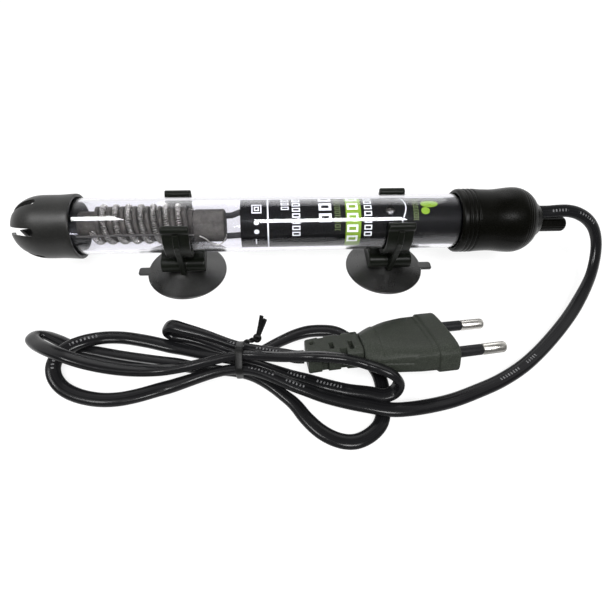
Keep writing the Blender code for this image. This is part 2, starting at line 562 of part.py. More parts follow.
def build_element():
    """Ceramic former, wound heating coil, ceramic head, leads and bare wires."""
    y, z = COIL_Y, AXIS_Z + COIL_UP
    r = COIL_R - COIL_WIRE_R - FIT
    left, right = COIL_START - FORMER_LEAD, HEAD_LEFT - FIT
    verts, faces = turned([(left, 0), (left, r - 0.6), (left + 0.6, r), (right, r),
                           (right, 0)], 20, y, z)
    add_mesh("ceramic_former", verts, faces, (0.42, 0.38, 0.34), 0.85)

    pts, per_turn = [], 24
    for k in range(-1, int(COIL_TURNS * per_turn) + 2):
        t = 2 * math.pi * k / per_turn + math.radians(164)
        pts.append((COIL_START + COIL_PITCH * k / per_turn, y + COIL_R * math.cos(t),
                    z + COIL_R * math.sin(t)))
    run = np.array(pts)
    add_tube("heating_coil", run, COIL_WIRE_R, (0.45, 0.43, 0.42), 0.45, 0.8)
    print("heating coil: least gap between turns %.2f mm"
          % least_gap(run, run, COIL_WIRE_R, True, 14.0))

    ring = []
    for k in range(16):
        t = 2 * math.pi * (k + 0.5) / 16
        rr = COIL_R - (0.1 if k % 4 < 2 else 0.5)
        ring.append((HEAD_Y + rr * math.cos(t), AXIS_Z + HEAD_UP + rr * math.sin(t)))
    verts, faces = prism_x(ring, HEAD_LEFT, HEAD_RIGHT)
    add_mesh("ceramic_head", verts, faces, (0.55, 0.52, 0.48), 0.8)

    rest_z = AXIS_Z - BOARD_DROP + FIT + LEAD_R
    leads = (("lead_sleeve_upper", (2.0, 2.7), (3.3, 3.7)),
             ("lead_sleeve_lower", (-3.2, -3.4), (-3.0, -3.1)))
    for name, (ya, up_a), (y0, up) in leads:
        z0 = AXIS_Z + up
        y1 = math.copysign(2.6, y0)
        x0 = HEAD_RIGHT + FIT
        route = smooth_route([(x0, ya, AXIS_Z + up_a), (x0 + 2.3, ya, AXIS_Z + up_a + 0.1),
                              (x0 + 6.5, y0, z0), (x0 + 9.3, (y0 + y1) / 2, z0 - 0.1),
                              (x0 + 15.3, y1, (z0 + rest_z) / 2 + 0.3), (x0 + 21.3, y1, rest_z),
                              (x0 + 25.3, y1, rest_z)])
        add_tube(name, thin_out(route, 4.0, 10.0), LEAD_R, (0.02, 0.02, 0.02), 0.6, res=2)

    route = smooth_route([round_axis(COIL_START - 5.4, WIRE_AT, 165),
                          round_axis(COIL_START + 0.6, WIRE_AT, 164),
                          round_axis(COIL_START + 12.6, WIRE_AT, 163),
                          round_axis(HEAD_LEFT - 11.3, WIRE_AT, 163),
                          round_axis(HEAD_LEFT + 0.7, WIRE_AT, 165)])
    add_tube("return_wire", thin_out(route, 6.0, 10.0), WIRE_R, (0.7, 0.7, 0.68), 0.35, 0.9)
    turns = [(HEAD_LEFT + 2.7, 0, 168), (HEAD_LEFT + 4.7, 0, 175), (HEAD_LEFT + 6.7, 0, 189),
             (HEAD_LEFT + 8.7, 0, 198), (HEAD_LEFT + 10.7, 0.1, 194), (HEAD_LEFT + 12.3, 0.3, 180),
             (HEAD_LEFT + 13.1, 0.8, 168)]
    route = smooth_route([round_axis(x, WIRE_AT - inward, turn) for x, inward, turn in turns])
    add_tube("tail_wire", thin_out(route, 5.0, 10.0), WIRE_R, (0.75, 0.74, 0.7), 0.35, 0.9)


# ---------------------------------------------------------------- label sleeve and switch
def build_sleeve():
    """Printed sleeve with its lamp window, and the lamp behind it."""
    inner = SLEEVE_R - SLEEVE_WALL
    verts, faces = turned([(SLEEVE_LEFT, inner), (SLEEVE_LEFT, SLEEVE_R),
                           (SLEEVE_RIGHT, SLEEVE_R), (SLEEVE_RIGHT, inner)], ROUND_COUNT)
    sleeve = add_mesh("label_sleeve", verts, faces, (0.015, 0.015, 0.015), 0.4)
    t = math.radians(WINDOW_ANGLE)
    c, s = math.cos(t), math.sin(t)
    hole = []
    for radial in (inner - 5.0, SLEEVE_R + 4.6):
        hole.append([(WINDOW_X + u, radial * c - v * s, AXIS_Z + radial * s + v * c)
                     for u, v in circle(WINDOW_R, 16)])
    boolean(sleeve, cutter("lamp_window", lofted(hole)), "DIFFERENCE")

    reach = inner - LAMP_R - 0.35
    ly, lz = reach * c, AXIS_Z + reach * s
    left, right = WINDOW_X - LAMP_LEN / 2, WINDOW_X + LAMP_LEN / 2
    verts, faces = turned([(left, 0), (left + 0.3, 1.2), (left + 1.2, LAMP_R),
                           (right - 1.4, LAMP_R), (right - 0.4, 1.2), (right, 0)], 12, ly, lz)
    add_mesh("indicator_lamp", verts, faces, (0.8, 0.45, 0.3), 0.15, glass=0.5)

    top = AXIS_Z - BOARD_DROP + FIT
    x0 = left - 0.4
    route = smooth_route([(x0, ly, lz), (x0 - 1.6, ly, lz), (x0 - 3.4, ly + 0.2, lz - 2.4),
                          (x0 - 3.6, ly + 0.2, AXIS_Z), (x0 - 3.6, ly, top + FIT)])
    add_tube("lamp_lead", thin_out(route, 3.0, 10.0), 0.3, (0.7, 0.4, 0.25), 0.35, 1.0)
    x0 = left - 9.2
    verts, faces = turned([(x0, 0), (x0 + 0.3, 0.9), (x0 + 0.9, 1.2), (x0 + 6.1, 1.2),
                           (x0 + 6.7, 0.9), (x0 + 7.0, 0)], 12, 2.4, top + 1.2)
    add_mesh("lamp_resistor", verts, faces, (0.55, 0.5, 0.38), 0.5)


def build_switch():
    """Board with the thermostat: base, bimetal strip, clamp, contacts and magnet."""
    top = AXIS_Z - BOARD_DROP
    low = top - BOARD_T
    half = math.sqrt((SLEEVE_R - SLEEVE_WALL) ** 2 - (AXIS_Z - low) ** 2) - FIT - 0.05
    verts, faces = box(BOARD_LEFT, BOARD_RIGHT, -half, half, low, top)
    add_mesh("switch_board", verts, faces, (0.45, 0.33, 0.16), 0.6)

    top += FIT
    base_right = BASE_X + BASE_LEN
    verts, faces = box(BASE_X, base_right, -4.5, 4.5, top, top + BASE_H)
    add_mesh("thermostat_base", verts, faces, (0.75, 0.72, 0.66), 0.7)
    strip = top + BASE_H + FIT
    verts, faces = box(BASE_X + 1.0, BOARD_RIGHT + 1.9, -2.2, 2.2, strip, strip + STRIP_T)
    add_mesh("bimetal_strip", verts, faces, (0.72, 0.62, 0.42), 0.35, 1.0)
    clamp = strip + STRIP_T + FIT
    verts, faces = box(BASE_X + 0.6, base_right - 0.6, -3.4, 3.4, clamp, clamp + 1.0)
    add_mesh("strip_clamp", verts, faces, STEEL, 0.35, 1.0)

    rows = [("contact_fixed", top, top + 1.8), ("contact_moving", strip - FIT - 1.4, strip - FIT)]
    for name, z0, z1 in rows:
        verts, faces = turned_z([(z0, 0), (z0, CONTACT_R), (z1, CONTACT_R), (z1, 0)], 12,
                                CONTACT_X)
        add_mesh(name, verts, faces, (0.78, 0.76, 0.7), 0.25, 1.0)
    right = CONTACT_X - CONTACT_R - 2.5
    verts, faces = box(right - 4.0, right, -2.0, 2.0, top, top + 3.6)
    add_mesh("snap_magnet", verts, faces, (0.12, 0.12, 0.13), 0.5, 0.6)

    cores = [("core_line", -1, (0.35, 0.17, 0.08)), ("core_neutral", 1, (0.08, 0.18, 0.45))]
    for name, side, rgb in cores:
        y0 = CORD_Y + side * CORE_APART / 2
        y1 = 4.6 * side
        x0 = GLAND_LEFT - FIT
        route = smooth_route([(x0, y0, CORD_Z), (x0 - 3.3, y0, CORD_Z),
                              (BUNG_LEFT - 0.7, y0, CORD_Z),
                              (BUNG_LEFT - 4.7, y0 * 0.4 + y1 * 0.6, CORD_Z - 0.4),
                              (CONTACT_X + 1.5, y1, AXIS_Z - 0.5), (CONTACT_X - 2.0, y1, top + 0.9),
                              (CONTACT_X - 6.0, y1, top + 0.6)])
        add_tube(name, thin_out(route, 4.0, 10.0), CORE_R, rgb, 0.5)


# ---------------------------------------------------------------- clips and suction cups
def arc_points(radius, a0, a1, count):
    """Points on an arc about the tube's axis; angles in degrees from straight up."""
    out = []
    for k in range(count + 1):
        t = math.radians(a0 + (a1 - a0) * k / count)
        out.append((radius * math.sin(t), AXIS_Z + radius * math.cos(t)))
    return out


def build_clip(name, x):
    """C-shaped clip with rolled lips, ribs, a neck and a foot that holds the cup's stud."""
    r0 = TUBE_R + FIT
    r1 = r0 + CLIP_WALL
    a0, a1 = LIP_ANGLE, 360 - LIP_ANGLE
    outline = arc_points(r1, a0, a1, 26) + arc_points(r0, a1, a0, 26)
    verts, faces = [], []
    half = CLIP_W / 2
    count = len(outline)
    n = count // 2
    for xx in (x - half, x + half):
        verts += [(xx, yy, zz) for yy, zz in outline]
    for k in range(count):
        k2 = (k + 1) % count
        faces.append((k, k2, count + k2, count + k))
    for k in range(n - 1):
        faces.append((k, k + 1, count - 2 - k, count - 1 - k))
        faces.append((count + k, count + k + 1, 2 * count - 2 - k, 2 * count - 1 - k))
    clip = add_mesh(name, verts, faces, (0.02, 0.024, 0.021), 0.5, origin=(x, 0, AXIS_Z))

    tag = name[-5:].strip("_")
    for side in (-1, 1):
        t = math.radians(LIP_ANGLE) * side
        reach = r0 + LIP_R + 0.05
        y, z = reach * math.sin(t), AXIS_Z + reach * math.cos(t)
        x0, x1 = x - half - 0.01, x + half + 0.01
        bead = turned([(x0, 0), (x0, LIP_R), (x1, LIP_R), (x1, 0)], 12, y, z)
        boolean(clip, cutter("lip_%s_%d" % (tag, side), bead), "UNION")
        out = r1 + 0.8
        rib = [(side * 1.5, FOOT_TOP - 1.0), (side * (FOOT_Y / 2 - 1.0), FOOT_TOP - 1.0),
               (side * (FOOT_Y / 2 - 1.0), FOOT_LOW + 0.6), (side * (FOOT_Y / 2 + 0.7), FOOT_LOW + 0.6)]
        rib += [(side * out * math.sin(a), AXIS_Z - out * math.cos(a))
                for a in np.radians([58, 76, 94, 112])]
        inside = r1 - 0.8
        rib += [(side * inside * math.sin(a), AXIS_Z - inside * math.cos(a))
                for a in np.radians([112, 90, 66, 42, 20, 8])]
        shape = prism_x(rib, x - RIB_W / 2, x + RIB_W / 2)
        boolean(clip, cutter("rib_%s_%d" % (tag, side), shape), "UNION")
    neck = box(x - NECK_X / 2, x + NECK_X / 2, -NECK_Y / 2, NECK_Y / 2, FOOT_TOP - 1.0,
               AXIS_Z - r0 - CLIP_WALL / 2)
    boolean(clip, cutter("neck_%s" % tag, neck), "UNION")
    low, top = FOOT_LOW, FOOT_TOP
    nose = []
    for side, turn in ((1, -90), (-1, 90)):
        for k in range(7):
            t = math.radians(turn + 30 * k)
            nose.append((side * (FOOT_Y / 2 - FOOT_ROUND) + FOOT_ROUND * math.cos(t),
                         (low + top) / 2 + (top - low) / 2 * math.sin(t)))
    foot = prism_x(nose, x - FOOT_X / 2, x + FOOT_X / 2)
    boolean(clip, cutter("foot_%s" % tag, foot), "UNION")
    neck_r, head_r = STUD_R + FIT, STUD_HEAD_R + FIT
    step, roof = FOOT_LOW + 2.1, FOOT_LOW + 5.1
    socket = turned_z([(low - 2, 0), (low - 2, neck_r), (step, neck_r), (step, head_r),
                       (roof, head_r), (roof, 0)], 20, x)
    boolean(clip, cutter("socket_%s" % tag, socket), "DIFFERENCE")


def build_cup(name, x, side):
    """Suction cup: thin cone, hub, stud that turns in the clip's foot, and a pull tab."""
    under = [(0.0, CUP_R - 3.2), (0.0, CUP_R), (0.7, CUP_R - 0.15)]
    hub = FOOT_LOW - FIT
    step, roof = FOOT_LOW + 2.1 + FIT, FOOT_LOW + 5.1 - FIT
    over = [(1.1, CUP_R - 1.0), (2.1, CUP_R - 4.4), (hub - 1.4, CUP_R / 2),
            (hub - 0.6, HUB_R + 1.2), (hub, HUB_R), (hub, STUD_R), (step, STUD_R),
            (step, STUD_HEAD_R), (roof - 0.9, STUD_HEAD_R), (roof, STUD_HEAD_R - 1.0), (roof, 0)]
    hollow = [(3.0, 0), (2.5, 4.5), (1.7, CUP_R / 2), (0.8, CUP_R - 5.0)]
    verts, faces = turned_z(hollow + under + over, 32, x)
    cup = add_mesh(name, verts, faces, (0.05, 0.052, 0.05), 0.45, origin=(x, 0, 0))
    edge = x + side * (CUP_R - 1.0)
    tip = x + side * (CUP_R + 4.6)
    tab = box(min(edge, tip), max(edge, tip), -2.6, 1.9, 0.15, 1.05)
    boolean(cup, cutter("tab_%s" % name[-5:].strip("_"), tab), "UNION")


# ---------------------------------------------------------------- cord, tie and plug
def plug_frame():
    """Front point and unit axes of the plug: along the pins, across them, and normal."""
    yaw, pitch, roll = (math.radians(v) for v in (PLUG_YAW, PLUG_PITCH, PLUG_ROLL))
    a = np.array([math.cos(yaw) * math.cos(pitch), math.sin(yaw) * math.cos(pitch),
                  math.sin(pitch)])
    s0 = np.array([-math.sin(yaw), math.cos(yaw), 0.0])
    n0 = np.cross(a, s0)
    s = s0 * math.cos(roll) + n0 * math.sin(roll)
    n = -s0 * math.sin(roll) + n0 * math.cos(roll)
    return np.array(PLUG_FRONT), a, s, n


def plug_point(along, across, up):
    """World point in mm of a plug point; the strain relief curves down behind the body."""
    p0, a, s, n = plug_frame()
    p = p0 + a * along + s * across + n * up
    p[2] -= RELIEF_DROP * max(0.0, RELIEF_START - 3.4 - along) ** 2
    return p


def plug_section(along, half_w, half_t, upper, lower):
    """Section through the corners of its upper and lower half, the same on both sides."""
    up = [(half_w * w, half_t * t) for w, t in upper]
    low = [(half_w * w, -half_t * t) for w, t in lower]
    ring = up + [(-w, t) for w, t in up[::-1]] + [(-w, t) for w, t in low] + low[::-1]
    return [plug_point(along, w, t) for w, t in ring]


def build_plug():
    """Two-pin plug: body with a front collar, notched strain relief, pins and sleeves."""
    rows = [(0.0, COLLAR_W - 0.8, COLLAR_T - 0.6, 0.0), (-0.9, COLLAR_W, COLLAR_T, 0.0),
            (-COLLAR_LEN, COLLAR_W, COLLAR_T, 0.0)] + BODY_ROWS
    sections = []
    for along, wide, thick, rear in rows:
        upper = [(w0 + (w1 - w0) * rear, t0 + (t1 - t0) * rear)
                 for (w0, t0), (w1, t1) in zip(UPPER_FRONT, UPPER_REAR)]
        sections.append(plug_section(along, wide, thick, upper, LOWER))
    verts, faces = lofted(sections)
    body = add_mesh("plug_body", verts, faces, (0.03, 0.031, 0.03), 0.6)
    hole_end = -PIN_ROOT - FIT - 0.1
    for k, side in enumerate((-1, 1)):
        r = PIN_R + FIT
        rings = []
        for along in (hole_end, 3.0):
            rings.append([plug_point(along, side * PIN_SPREAD_BASE + u, v)
                          for u, v in circle(r, 16)])
        boolean(body, cutter("pin_hole_%d" % k, lofted(rings)), "DIFFERENCE")

        def pin_ring(along, radius):
            share = max(0.0, min(1.0, along / PIN_LEN))
            mid = PIN_SPREAD_BASE + (PIN_SPREAD_TIP - PIN_SPREAD_BASE) * share
            return [plug_point(along, side * mid + u, v) for u, v in circle(radius, 16)]

        sleeve = [pin_ring(-PIN_ROOT, PIN_R), pin_ring(0.0, PIN_R),
                  pin_ring(PIN_SLEEVE_LEN, PIN_R - 0.05)]
        verts, faces = lofted(sleeve)
        add_mesh("pin_sleeve_%d" % (k + 1), verts, faces, (0.02, 0.02, 0.02), 0.5)
        pin = [pin_ring(PIN_SLEEVE_LEN + FIT, PIN_R), pin_ring(PIN_LEN - 1.2, PIN_R),
               pin_ring(PIN_LEN - 0.4, PIN_R - 0.4), pin_ring(PIN_LEN, PIN_R - 1.1)]
        verts, faces = lofted(pin)
        add_mesh("plug_pin_%d" % (k + 1), verts, faces, (0.72, 0.72, 0.7), 0.25, 1.0)

    rows = []
    steps = 9
    for i in range(steps + 1):
        along = RELIEF_START + (RELIEF_END - RELIEF_START) * i / steps
        share = i / steps
        rows.append(plug_section(along, RELIEF_W - 0.5 * share, RELIEF_T - 0.3 * share,
                                 RELIEF_EDGE, RELIEF_EDGE))
    verts, faces = lofted(rows)
    relief = add_mesh("strain_relief", verts, faces, (0.03, 0.031, 0.03), 0.6)
    half = NOTCH_W / 2

    def slot_tool(label, along, a0, a1, low, high):
        """Cutter across the relief from a0 to a1, between two heights."""
        rings = [[plug_point(along + da, across, up) for da, up in
                  ((-half, low), (half, low), (half, high), (-half, high))] for across in (a0, a1)]
        boolean(relief, cutter(label, lofted(rings)), "DIFFERENCE")

    for i, along in enumerate(NOTCHES):
        for side in (-1, 1):
            slot_tool("notch_%d_%d" % (i, side), along, side * (RELIEF_W - NOTCH_DEEP),
                      side * (RELIEF_W + 3.0), -6, 6)
    for i, (along, across, wide, deep) in enumerate(POCKETS):
        slot_tool("pocket_%d" % i, along, across - wide, across + wide, RELIEF_T - deep, 6)


def build_cord():
    """Free lead, tied hank and the wire tie round the bundle."""
    lead = thin_out(smooth_route(LEAD_ROUTE), 5.2, 10.0)
    add_tube("cord_lead", lead, CORD_R, (0.02, 0.02, 0.02), 0.4)

    _, a, _, _ = plug_frame()
    end = plug_point(RELIEF_END - FIT, 0, 0)
    route = HANK_ROUTE + [tuple(end - a * 3.4), tuple(end)]
    hank = thin_out(smooth_route(route), 5.2, 12.0)
    add_tube("cord_hank", hank, CORD_R, (0.02, 0.02, 0.02), 0.4)
    print("cord hank: %d points, least gap to itself %.2f mm"
          % (len(hank), least_gap(hank, hank, CORD_R, True)))
    print("cord lead: %d points, least gap to the hank %.2f mm"
          % (len(lead), least_gap(lead[:-2], hank, CORD_R, False)))
    length = sum(np.linalg.norm(np.diff(line, axis=0), axis=1).sum() for line in (lead, hank))
    print("cord length %.0f mm" % length)


def tie_outline(offset):
    """Line round the outer passes at a given offset, as (y, z): arcs joined by straights."""
    count, out = len(TIE_PASSES), []
    normals = []
    for i in range(count):
        (y0, z0), (y1, z1) = TIE_PASSES[i], TIE_PASSES[(i + 1) % count]
        normals.append(math.atan2(y0 - y1, z1 - z0))
    for i, (y, z) in enumerate(TIE_PASSES):
        a0, a1 = normals[i - 1], normals[i]
        a1 += 2 * math.pi * round((a0 - a1) / (2 * math.pi))
        for k in range(4):
            t = a0 + (a1 - a0) * k / 3
            out.append((y + offset * math.cos(t), z + offset * math.sin(t)))
    return out


def build_tie():
    """Flat twist tie: a closed loop round the bundle, twisted ends, a knot and two tails."""
    offset = CORD_R + TIE_SLACK + TIE_HALF_T
    centre = [np.array([TIE_X, y, z]) for y, z in tie_outline(offset)]
    verts, faces, sides = [], [], 8
    count = len(centre)
    for i in range(count):
        tangent = centre[(i + 1) % count] - centre[i - 1]
        tangent /= np.linalg.norm(tangent)
        u = np.array([1.0, 0.0, 0.0])
        u -= tangent * u.dot(tangent)
        u /= np.linalg.norm(u)
        v = np.cross(tangent, u)
        for k in range(sides):
            t = 2 * math.pi * (k + 0.5) / sides
            verts.append(centre[i] + TIE_HALF_W * math.cos(t) * u + TIE_HALF_T * math.sin(t) * v)
    for i in range(count):
        i2 = (i + 1) % count
        for k in range(sides):
            k2 = (k + 1) % sides
            faces.append((i * sides + k, i * sides + k2, i2 * sides + k2, i2 * sides + k))
    tie = add_mesh("cord_tie", verts, faces, (0.02, 0.02, 0.02), 0.5)

    knot = np.array(KNOT)
    ball, ball_faces = turned([(-1.5, 0), (-1.2, 0.9), (-0.5, 1.45), (0.5, 1.45), (1.2, 0.9),
                               (1.5, 0)], 12, 0.0, 0.0)
    ball = [tuple(knot + np.array([x * 1.1, y * 1.1, z * 1.1])) for x, y, z in ball]
    boolean(tie, cutter("tie_knot", (ball, ball_faces)), "UNION")
    back = (TIE_X, TIE_PASSES[0][0] + offset, TIE_PASSES[0][1])
    arms = [("tie_arm", [back, knot], 0.6),
            ("tie_tail_1", [knot, knot + [1.0, 2.6, 3.4], knot + [1.9, 4.9, 7.2]], 0.62),
            ("tie_tail_2", [knot, knot + [1.7, 2.4, 2.8], knot + [3.2, 4.5, 5.7]], 0.62)]
    for name, line, radius in arms:
        line = [np.array(p, float) for p in line]
        rings = []
        for i, p in enumerate(line):
            j = min(i, len(line) - 2)
            tangent = (line[j + 1] - line[j]) / np.linalg.norm(line[j + 1] - line[j])
            u = np.cross(tangent, (0, 0, 1.0))
            u /= np.linalg.norm(u)
            v = np.cross(tangent, u)
            rings.append([p + a * u + b * v for a, b in circle(radius, 8)])
        boolean(tie, cutter(name, lofted(rings)), "UNION")


clean_scene()
build_tube()
build_guard_cap()
build_seal_cap()
build_end_seals()
build_knob()
build_element()
build_sleeve()
build_switch()
build_clip("clip_left", -CLIP_X)
build_clip("clip_right", CLIP_X)
build_cup("suction_cup_left", -CLIP_X, -1)
build_cup("suction_cup_right", CLIP_X, 1)
build_plug()
build_cord()
build_tie()
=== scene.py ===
"""Looks of the submersible aquarium heater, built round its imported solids.

Lengths are in metres in the solids' own frame, and MM turns millimetres into metres.
A new piece is a surface worked out with numpy: a profile turned about an axis, a section
carried along a path, or, for the moulded parts, the skin where a field is nought.
"""
import math

import bmesh
import bpy
import numpy as np
from mathutils import Matrix, Quaternion, Vector


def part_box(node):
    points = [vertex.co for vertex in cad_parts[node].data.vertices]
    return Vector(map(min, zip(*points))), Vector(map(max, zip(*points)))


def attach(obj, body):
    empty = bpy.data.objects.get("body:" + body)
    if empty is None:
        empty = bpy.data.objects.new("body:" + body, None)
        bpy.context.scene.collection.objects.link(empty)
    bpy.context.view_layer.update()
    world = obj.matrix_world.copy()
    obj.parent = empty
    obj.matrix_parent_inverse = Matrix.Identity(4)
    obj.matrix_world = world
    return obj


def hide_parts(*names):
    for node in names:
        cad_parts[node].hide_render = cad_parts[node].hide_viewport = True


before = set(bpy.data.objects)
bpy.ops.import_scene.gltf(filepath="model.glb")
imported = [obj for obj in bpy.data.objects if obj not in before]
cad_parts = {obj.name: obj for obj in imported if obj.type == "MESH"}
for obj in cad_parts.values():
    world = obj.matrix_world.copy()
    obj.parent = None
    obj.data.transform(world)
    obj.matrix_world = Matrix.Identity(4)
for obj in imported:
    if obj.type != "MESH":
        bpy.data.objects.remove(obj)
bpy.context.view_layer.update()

MM = 0.001


def corners(node):
    """Lowest and highest corner of a node, as arrays."""
    low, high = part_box(node)
    return np.array(low), np.array(high)


# ---------------------------------------------------------------- sizes read from the frame
TUBE_LOW, TUBE_HIGH = corners("glass_tube")
GUARD_LOW, GUARD_HIGH = corners("guard_cap")
SEAL_LOW, SEAL_HIGH = corners("seal_cap")
KNOB_LOW, KNOB_HIGH = corners("temperature_knob")
FORMER_LOW, FORMER_HIGH = corners("ceramic_former")
HEAD_LOW, HEAD_HIGH = corners("ceramic_head")
SLEEVE_LOW, SLEEVE_HIGH = corners("label_sleeve")

AXIS_Z = (TUBE_LOW[2] + TUBE_HIGH[2]) / 2
TUBE_R = (TUBE_HIGH[2] - TUBE_LOW[2]) / 2
TUBE_WALL = 1.3 * MM
TUBE_DOME = 7.0 * MM
SEAT = 0.3 * MM                 # gap between pieces that touch
SHIFT_X = -5.1 * MM             # the middle between the clips, from the origin
CLIP_APART = 43.6 * MM


# ---------------------------------------------------------------- meshes
def grid_quads(rows, cols, around, along=False):
    """Quads over rows x cols points; around closes the columns, along the rows."""
    i = np.arange(rows if along else rows - 1)[:, None]
    j = np.arange(cols if around else cols - 1)[None, :]
    i2, j2 = (i + 1) % rows, (j + 1) % cols
    quads = np.broadcast_arrays(i * cols + j, i * cols + j2, i2 * cols + j2, i2 * cols + j)
    return np.stack(quads, -1).reshape(-1, 4)


def fan(ring, centre):
    """Triangles from each edge of a ring of point numbers to one centre point."""
    ring = np.asarray(ring)
    return np.stack([ring, np.roll(ring, -1), np.full(len(ring), centre)], -1)


def capped(grid, first, last):
    """Shape of rows of ring points, with fans to a first and a last point at its ends."""
    rows, cols = grid.shape[:2]
    points = np.vstack([grid.reshape(-1, 3), first, last])
    low = (rows - 1) * cols
    tris = np.concatenate([fan(np.arange(cols)[::-1], len(points) - 2),
                           fan(np.arange(low, low + cols), len(points) - 1)])
    return points, grid_quads(rows, cols, True), tris


def round_axis(x, radius, turn, centre_y=0.0, centre_z=AXIS_Z):
    """Points (x, centre_y + radius cos turn, centre_z + radius sin turn)."""
    return np.stack(np.broadcast_arrays(x + 0 * turn, centre_y + radius * np.cos(turn),
                                        centre_z + radius * np.sin(turn)), -1)


def joined(shapes):
    """One shape of several (points, quads, triangles)."""
    points, quads, tris, base = [], [], [], 0
    for p, q, t in shapes:
        points.append(p)
        quads.append(np.asarray(q, int).reshape(-1, 4) + base)
        tris.append(np.asarray(t, int).reshape(-1, 3) + base)
        base += len(p)
    return np.concatenate(points), np.concatenate(quads), np.concatenate(tris)


def outward(shape):
    """The shape with its faces turned over if its signed volume is below nought."""
    p, quads, tris = shape
    quads = np.asarray(quads, int).reshape(-1, 4)
    tris = np.asarray(tris, int).reshape(-1, 3)
    every = np.concatenate([quads[:, [0, 1, 2]], quads[:, [0, 2, 3]], tris])
    a, b, c = p[every[:, 0]], p[every[:, 1]], p[every[:, 2]]
    if np.einsum("ij,ij->i", a, np.cross(b, c)).sum() < 0:
        return p, quads[:, ::-1], tris[:, ::-1]
    return p, quads, tris


def add_piece(name, shape, material, uv=None, sharp=None):
    """A mesh object of (points, quads, triangles), smooth, with sharp edges past an angle.

    uv holds one (u, v) for each corner of each quad, in the order of the quads.
    """
    p, quads, tris = outward(shape) if uv is None else shape
    mesh = bpy.data.meshes.new(name)
    loops = np.concatenate([quads.ravel(), np.asarray(tris, int).ravel()]).astype(np.int32)
    starts = np.concatenate([np.arange(len(quads)) * 4, len(quads) * 4 + np.arange(len(tris)) * 3])
    mesh.vertices.add(len(p))
    mesh.vertices.foreach_set("co", np.asarray(p, np.float32).ravel())
    mesh.loops.add(len(loops))
    mesh.loops.foreach_set("vertex_index", loops)
    mesh.polygons.add(len(starts))
    mesh.polygons.foreach_set("loop_start", starts.astype(np.int32))
    mesh.update(calc_edges=True)
    mesh.polygons.foreach_set("use_smooth", np.ones(len(starts), bool))
    if uv is not None:
        layer = mesh.uv_layers.new(name="surface")
        flat = np.concatenate([np.asarray(uv).reshape(-1, 2), np.zeros((len(tris) * 3, 2))])
        layer.data.foreach_set("uv", flat.astype(np.float32).ravel())
    if sharp is not None:
        mesh.set_sharp_from_angle(angle=math.radians(sharp))
    mesh.materials.append(material)
    obj = bpy.data.objects.new(name, mesh)
    bpy.context.scene.collection.objects.link(obj)
    return obj


def settle(obj, body, slot, *nodes):
    """Put a finished piece on its body, in place of the nodes it stands for; slot is not used."""
    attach(obj, body)
    if nodes:
        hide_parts(*nodes)
    return obj


def cut(obj, tool, sharp=None):
    """Take the tool's solid out of the piece; the tool is deleted."""
    mod = obj.modifiers.new("cut", "BOOLEAN")
    mod.operation = "DIFFERENCE"
    mod.solver = "EXACT"
    mod.object = tool
    graph = bpy.context.evaluated_depsgraph_get()
    mesh = bpy.data.meshes.new_from_object(obj.evaluated_get(graph))
    obj.modifiers.clear()
    obj.data = mesh
    bpy.data.objects.remove(tool)
    if sharp is not None:
        mesh.set_sharp_from_angle(angle=math.radians(sharp))


# ---------------------------------------------------------------- profiles and paths
def rounded(profile, radius, steps=5):
    """Profile whose inner corners are quadratic curves that begin radius before the corner.

    Each corner b between a and c becomes (1-t)^2 p + 2t(1-t) b + t^2 q, with p and q on its
    two sides, at most 0.45 of each side away.
    """
    pts = np.asarray(profile, float)
    out = [pts[:1]]
    t = np.linspace(0, 1, steps)[:, None]
    for a, b, c in zip(pts[:-2], pts[1:-1], pts[2:]):
        la, lc = np.linalg.norm(a - b), np.linalg.norm(c - b)
        p = b + (a - b) / la * min(radius, 0.45 * la)
        q = b + (c - b) / lc * min(radius, 0.45 * lc)
        out.append((1 - t) ** 2 * p + 2 * t * (1 - t) * b + t ** 2 * q)
    out.append(pts[-1:])
    return np.concatenate(out)


def dome(tip, base, radius, steps, power=2.0):
    """Profile from the tip to the base: |u|^power + |v|^power = 1, u along, v the radius."""
    t = np.linspace(0, math.pi / 2, steps + 1)
    along = np.clip(np.cos(t), 0, 1) ** (2 / power)
    return np.stack([base + (tip - base) * along, radius * np.sin(t) ** (2 / power)], -1)


def turned(profile, steps, centre_y=0.0, centre_z=AXIS_Z):
    """Shape of a profile of (x, radius) turned about an X axis.

    A point is (x, centre_y + r cos t, centre_z + r sin t).  A radius of nought at an end is
    a pole; without poles the profile closes on itself as a ring.
    """
    profile = np.asarray(profile, float)
    first, last = profile[0, 1] <= 1e-9, profile[-1, 1] <= 1e-9
    inner = profile[int(first):len(profile) - int(last)]
    t = np.linspace(0, 2 * math.pi, steps, endpoint=False)
    points = round_axis(inner[:, :1], inner[:, 1:], t, centre_y, centre_z).reshape(-1, 3)
    quads = grid_quads(len(inner), steps, True, not (first or last))
    tris = []
    if first:
        points = np.vstack([points, [profile[0, 0], centre_y, centre_z]])
        tris.append(fan(np.arange(steps)[::-1], len(points) - 1))
    if last:
        points = np.vstack([points, [profile[-1, 0], centre_y, centre_z]])
        low = (len(inner) - 1) * steps
        tris.append(fan(np.arange(low, low + steps), len(points) - 1))
    return points, quads, np.concatenate(tris) if tris else np.zeros((0, 3), int)


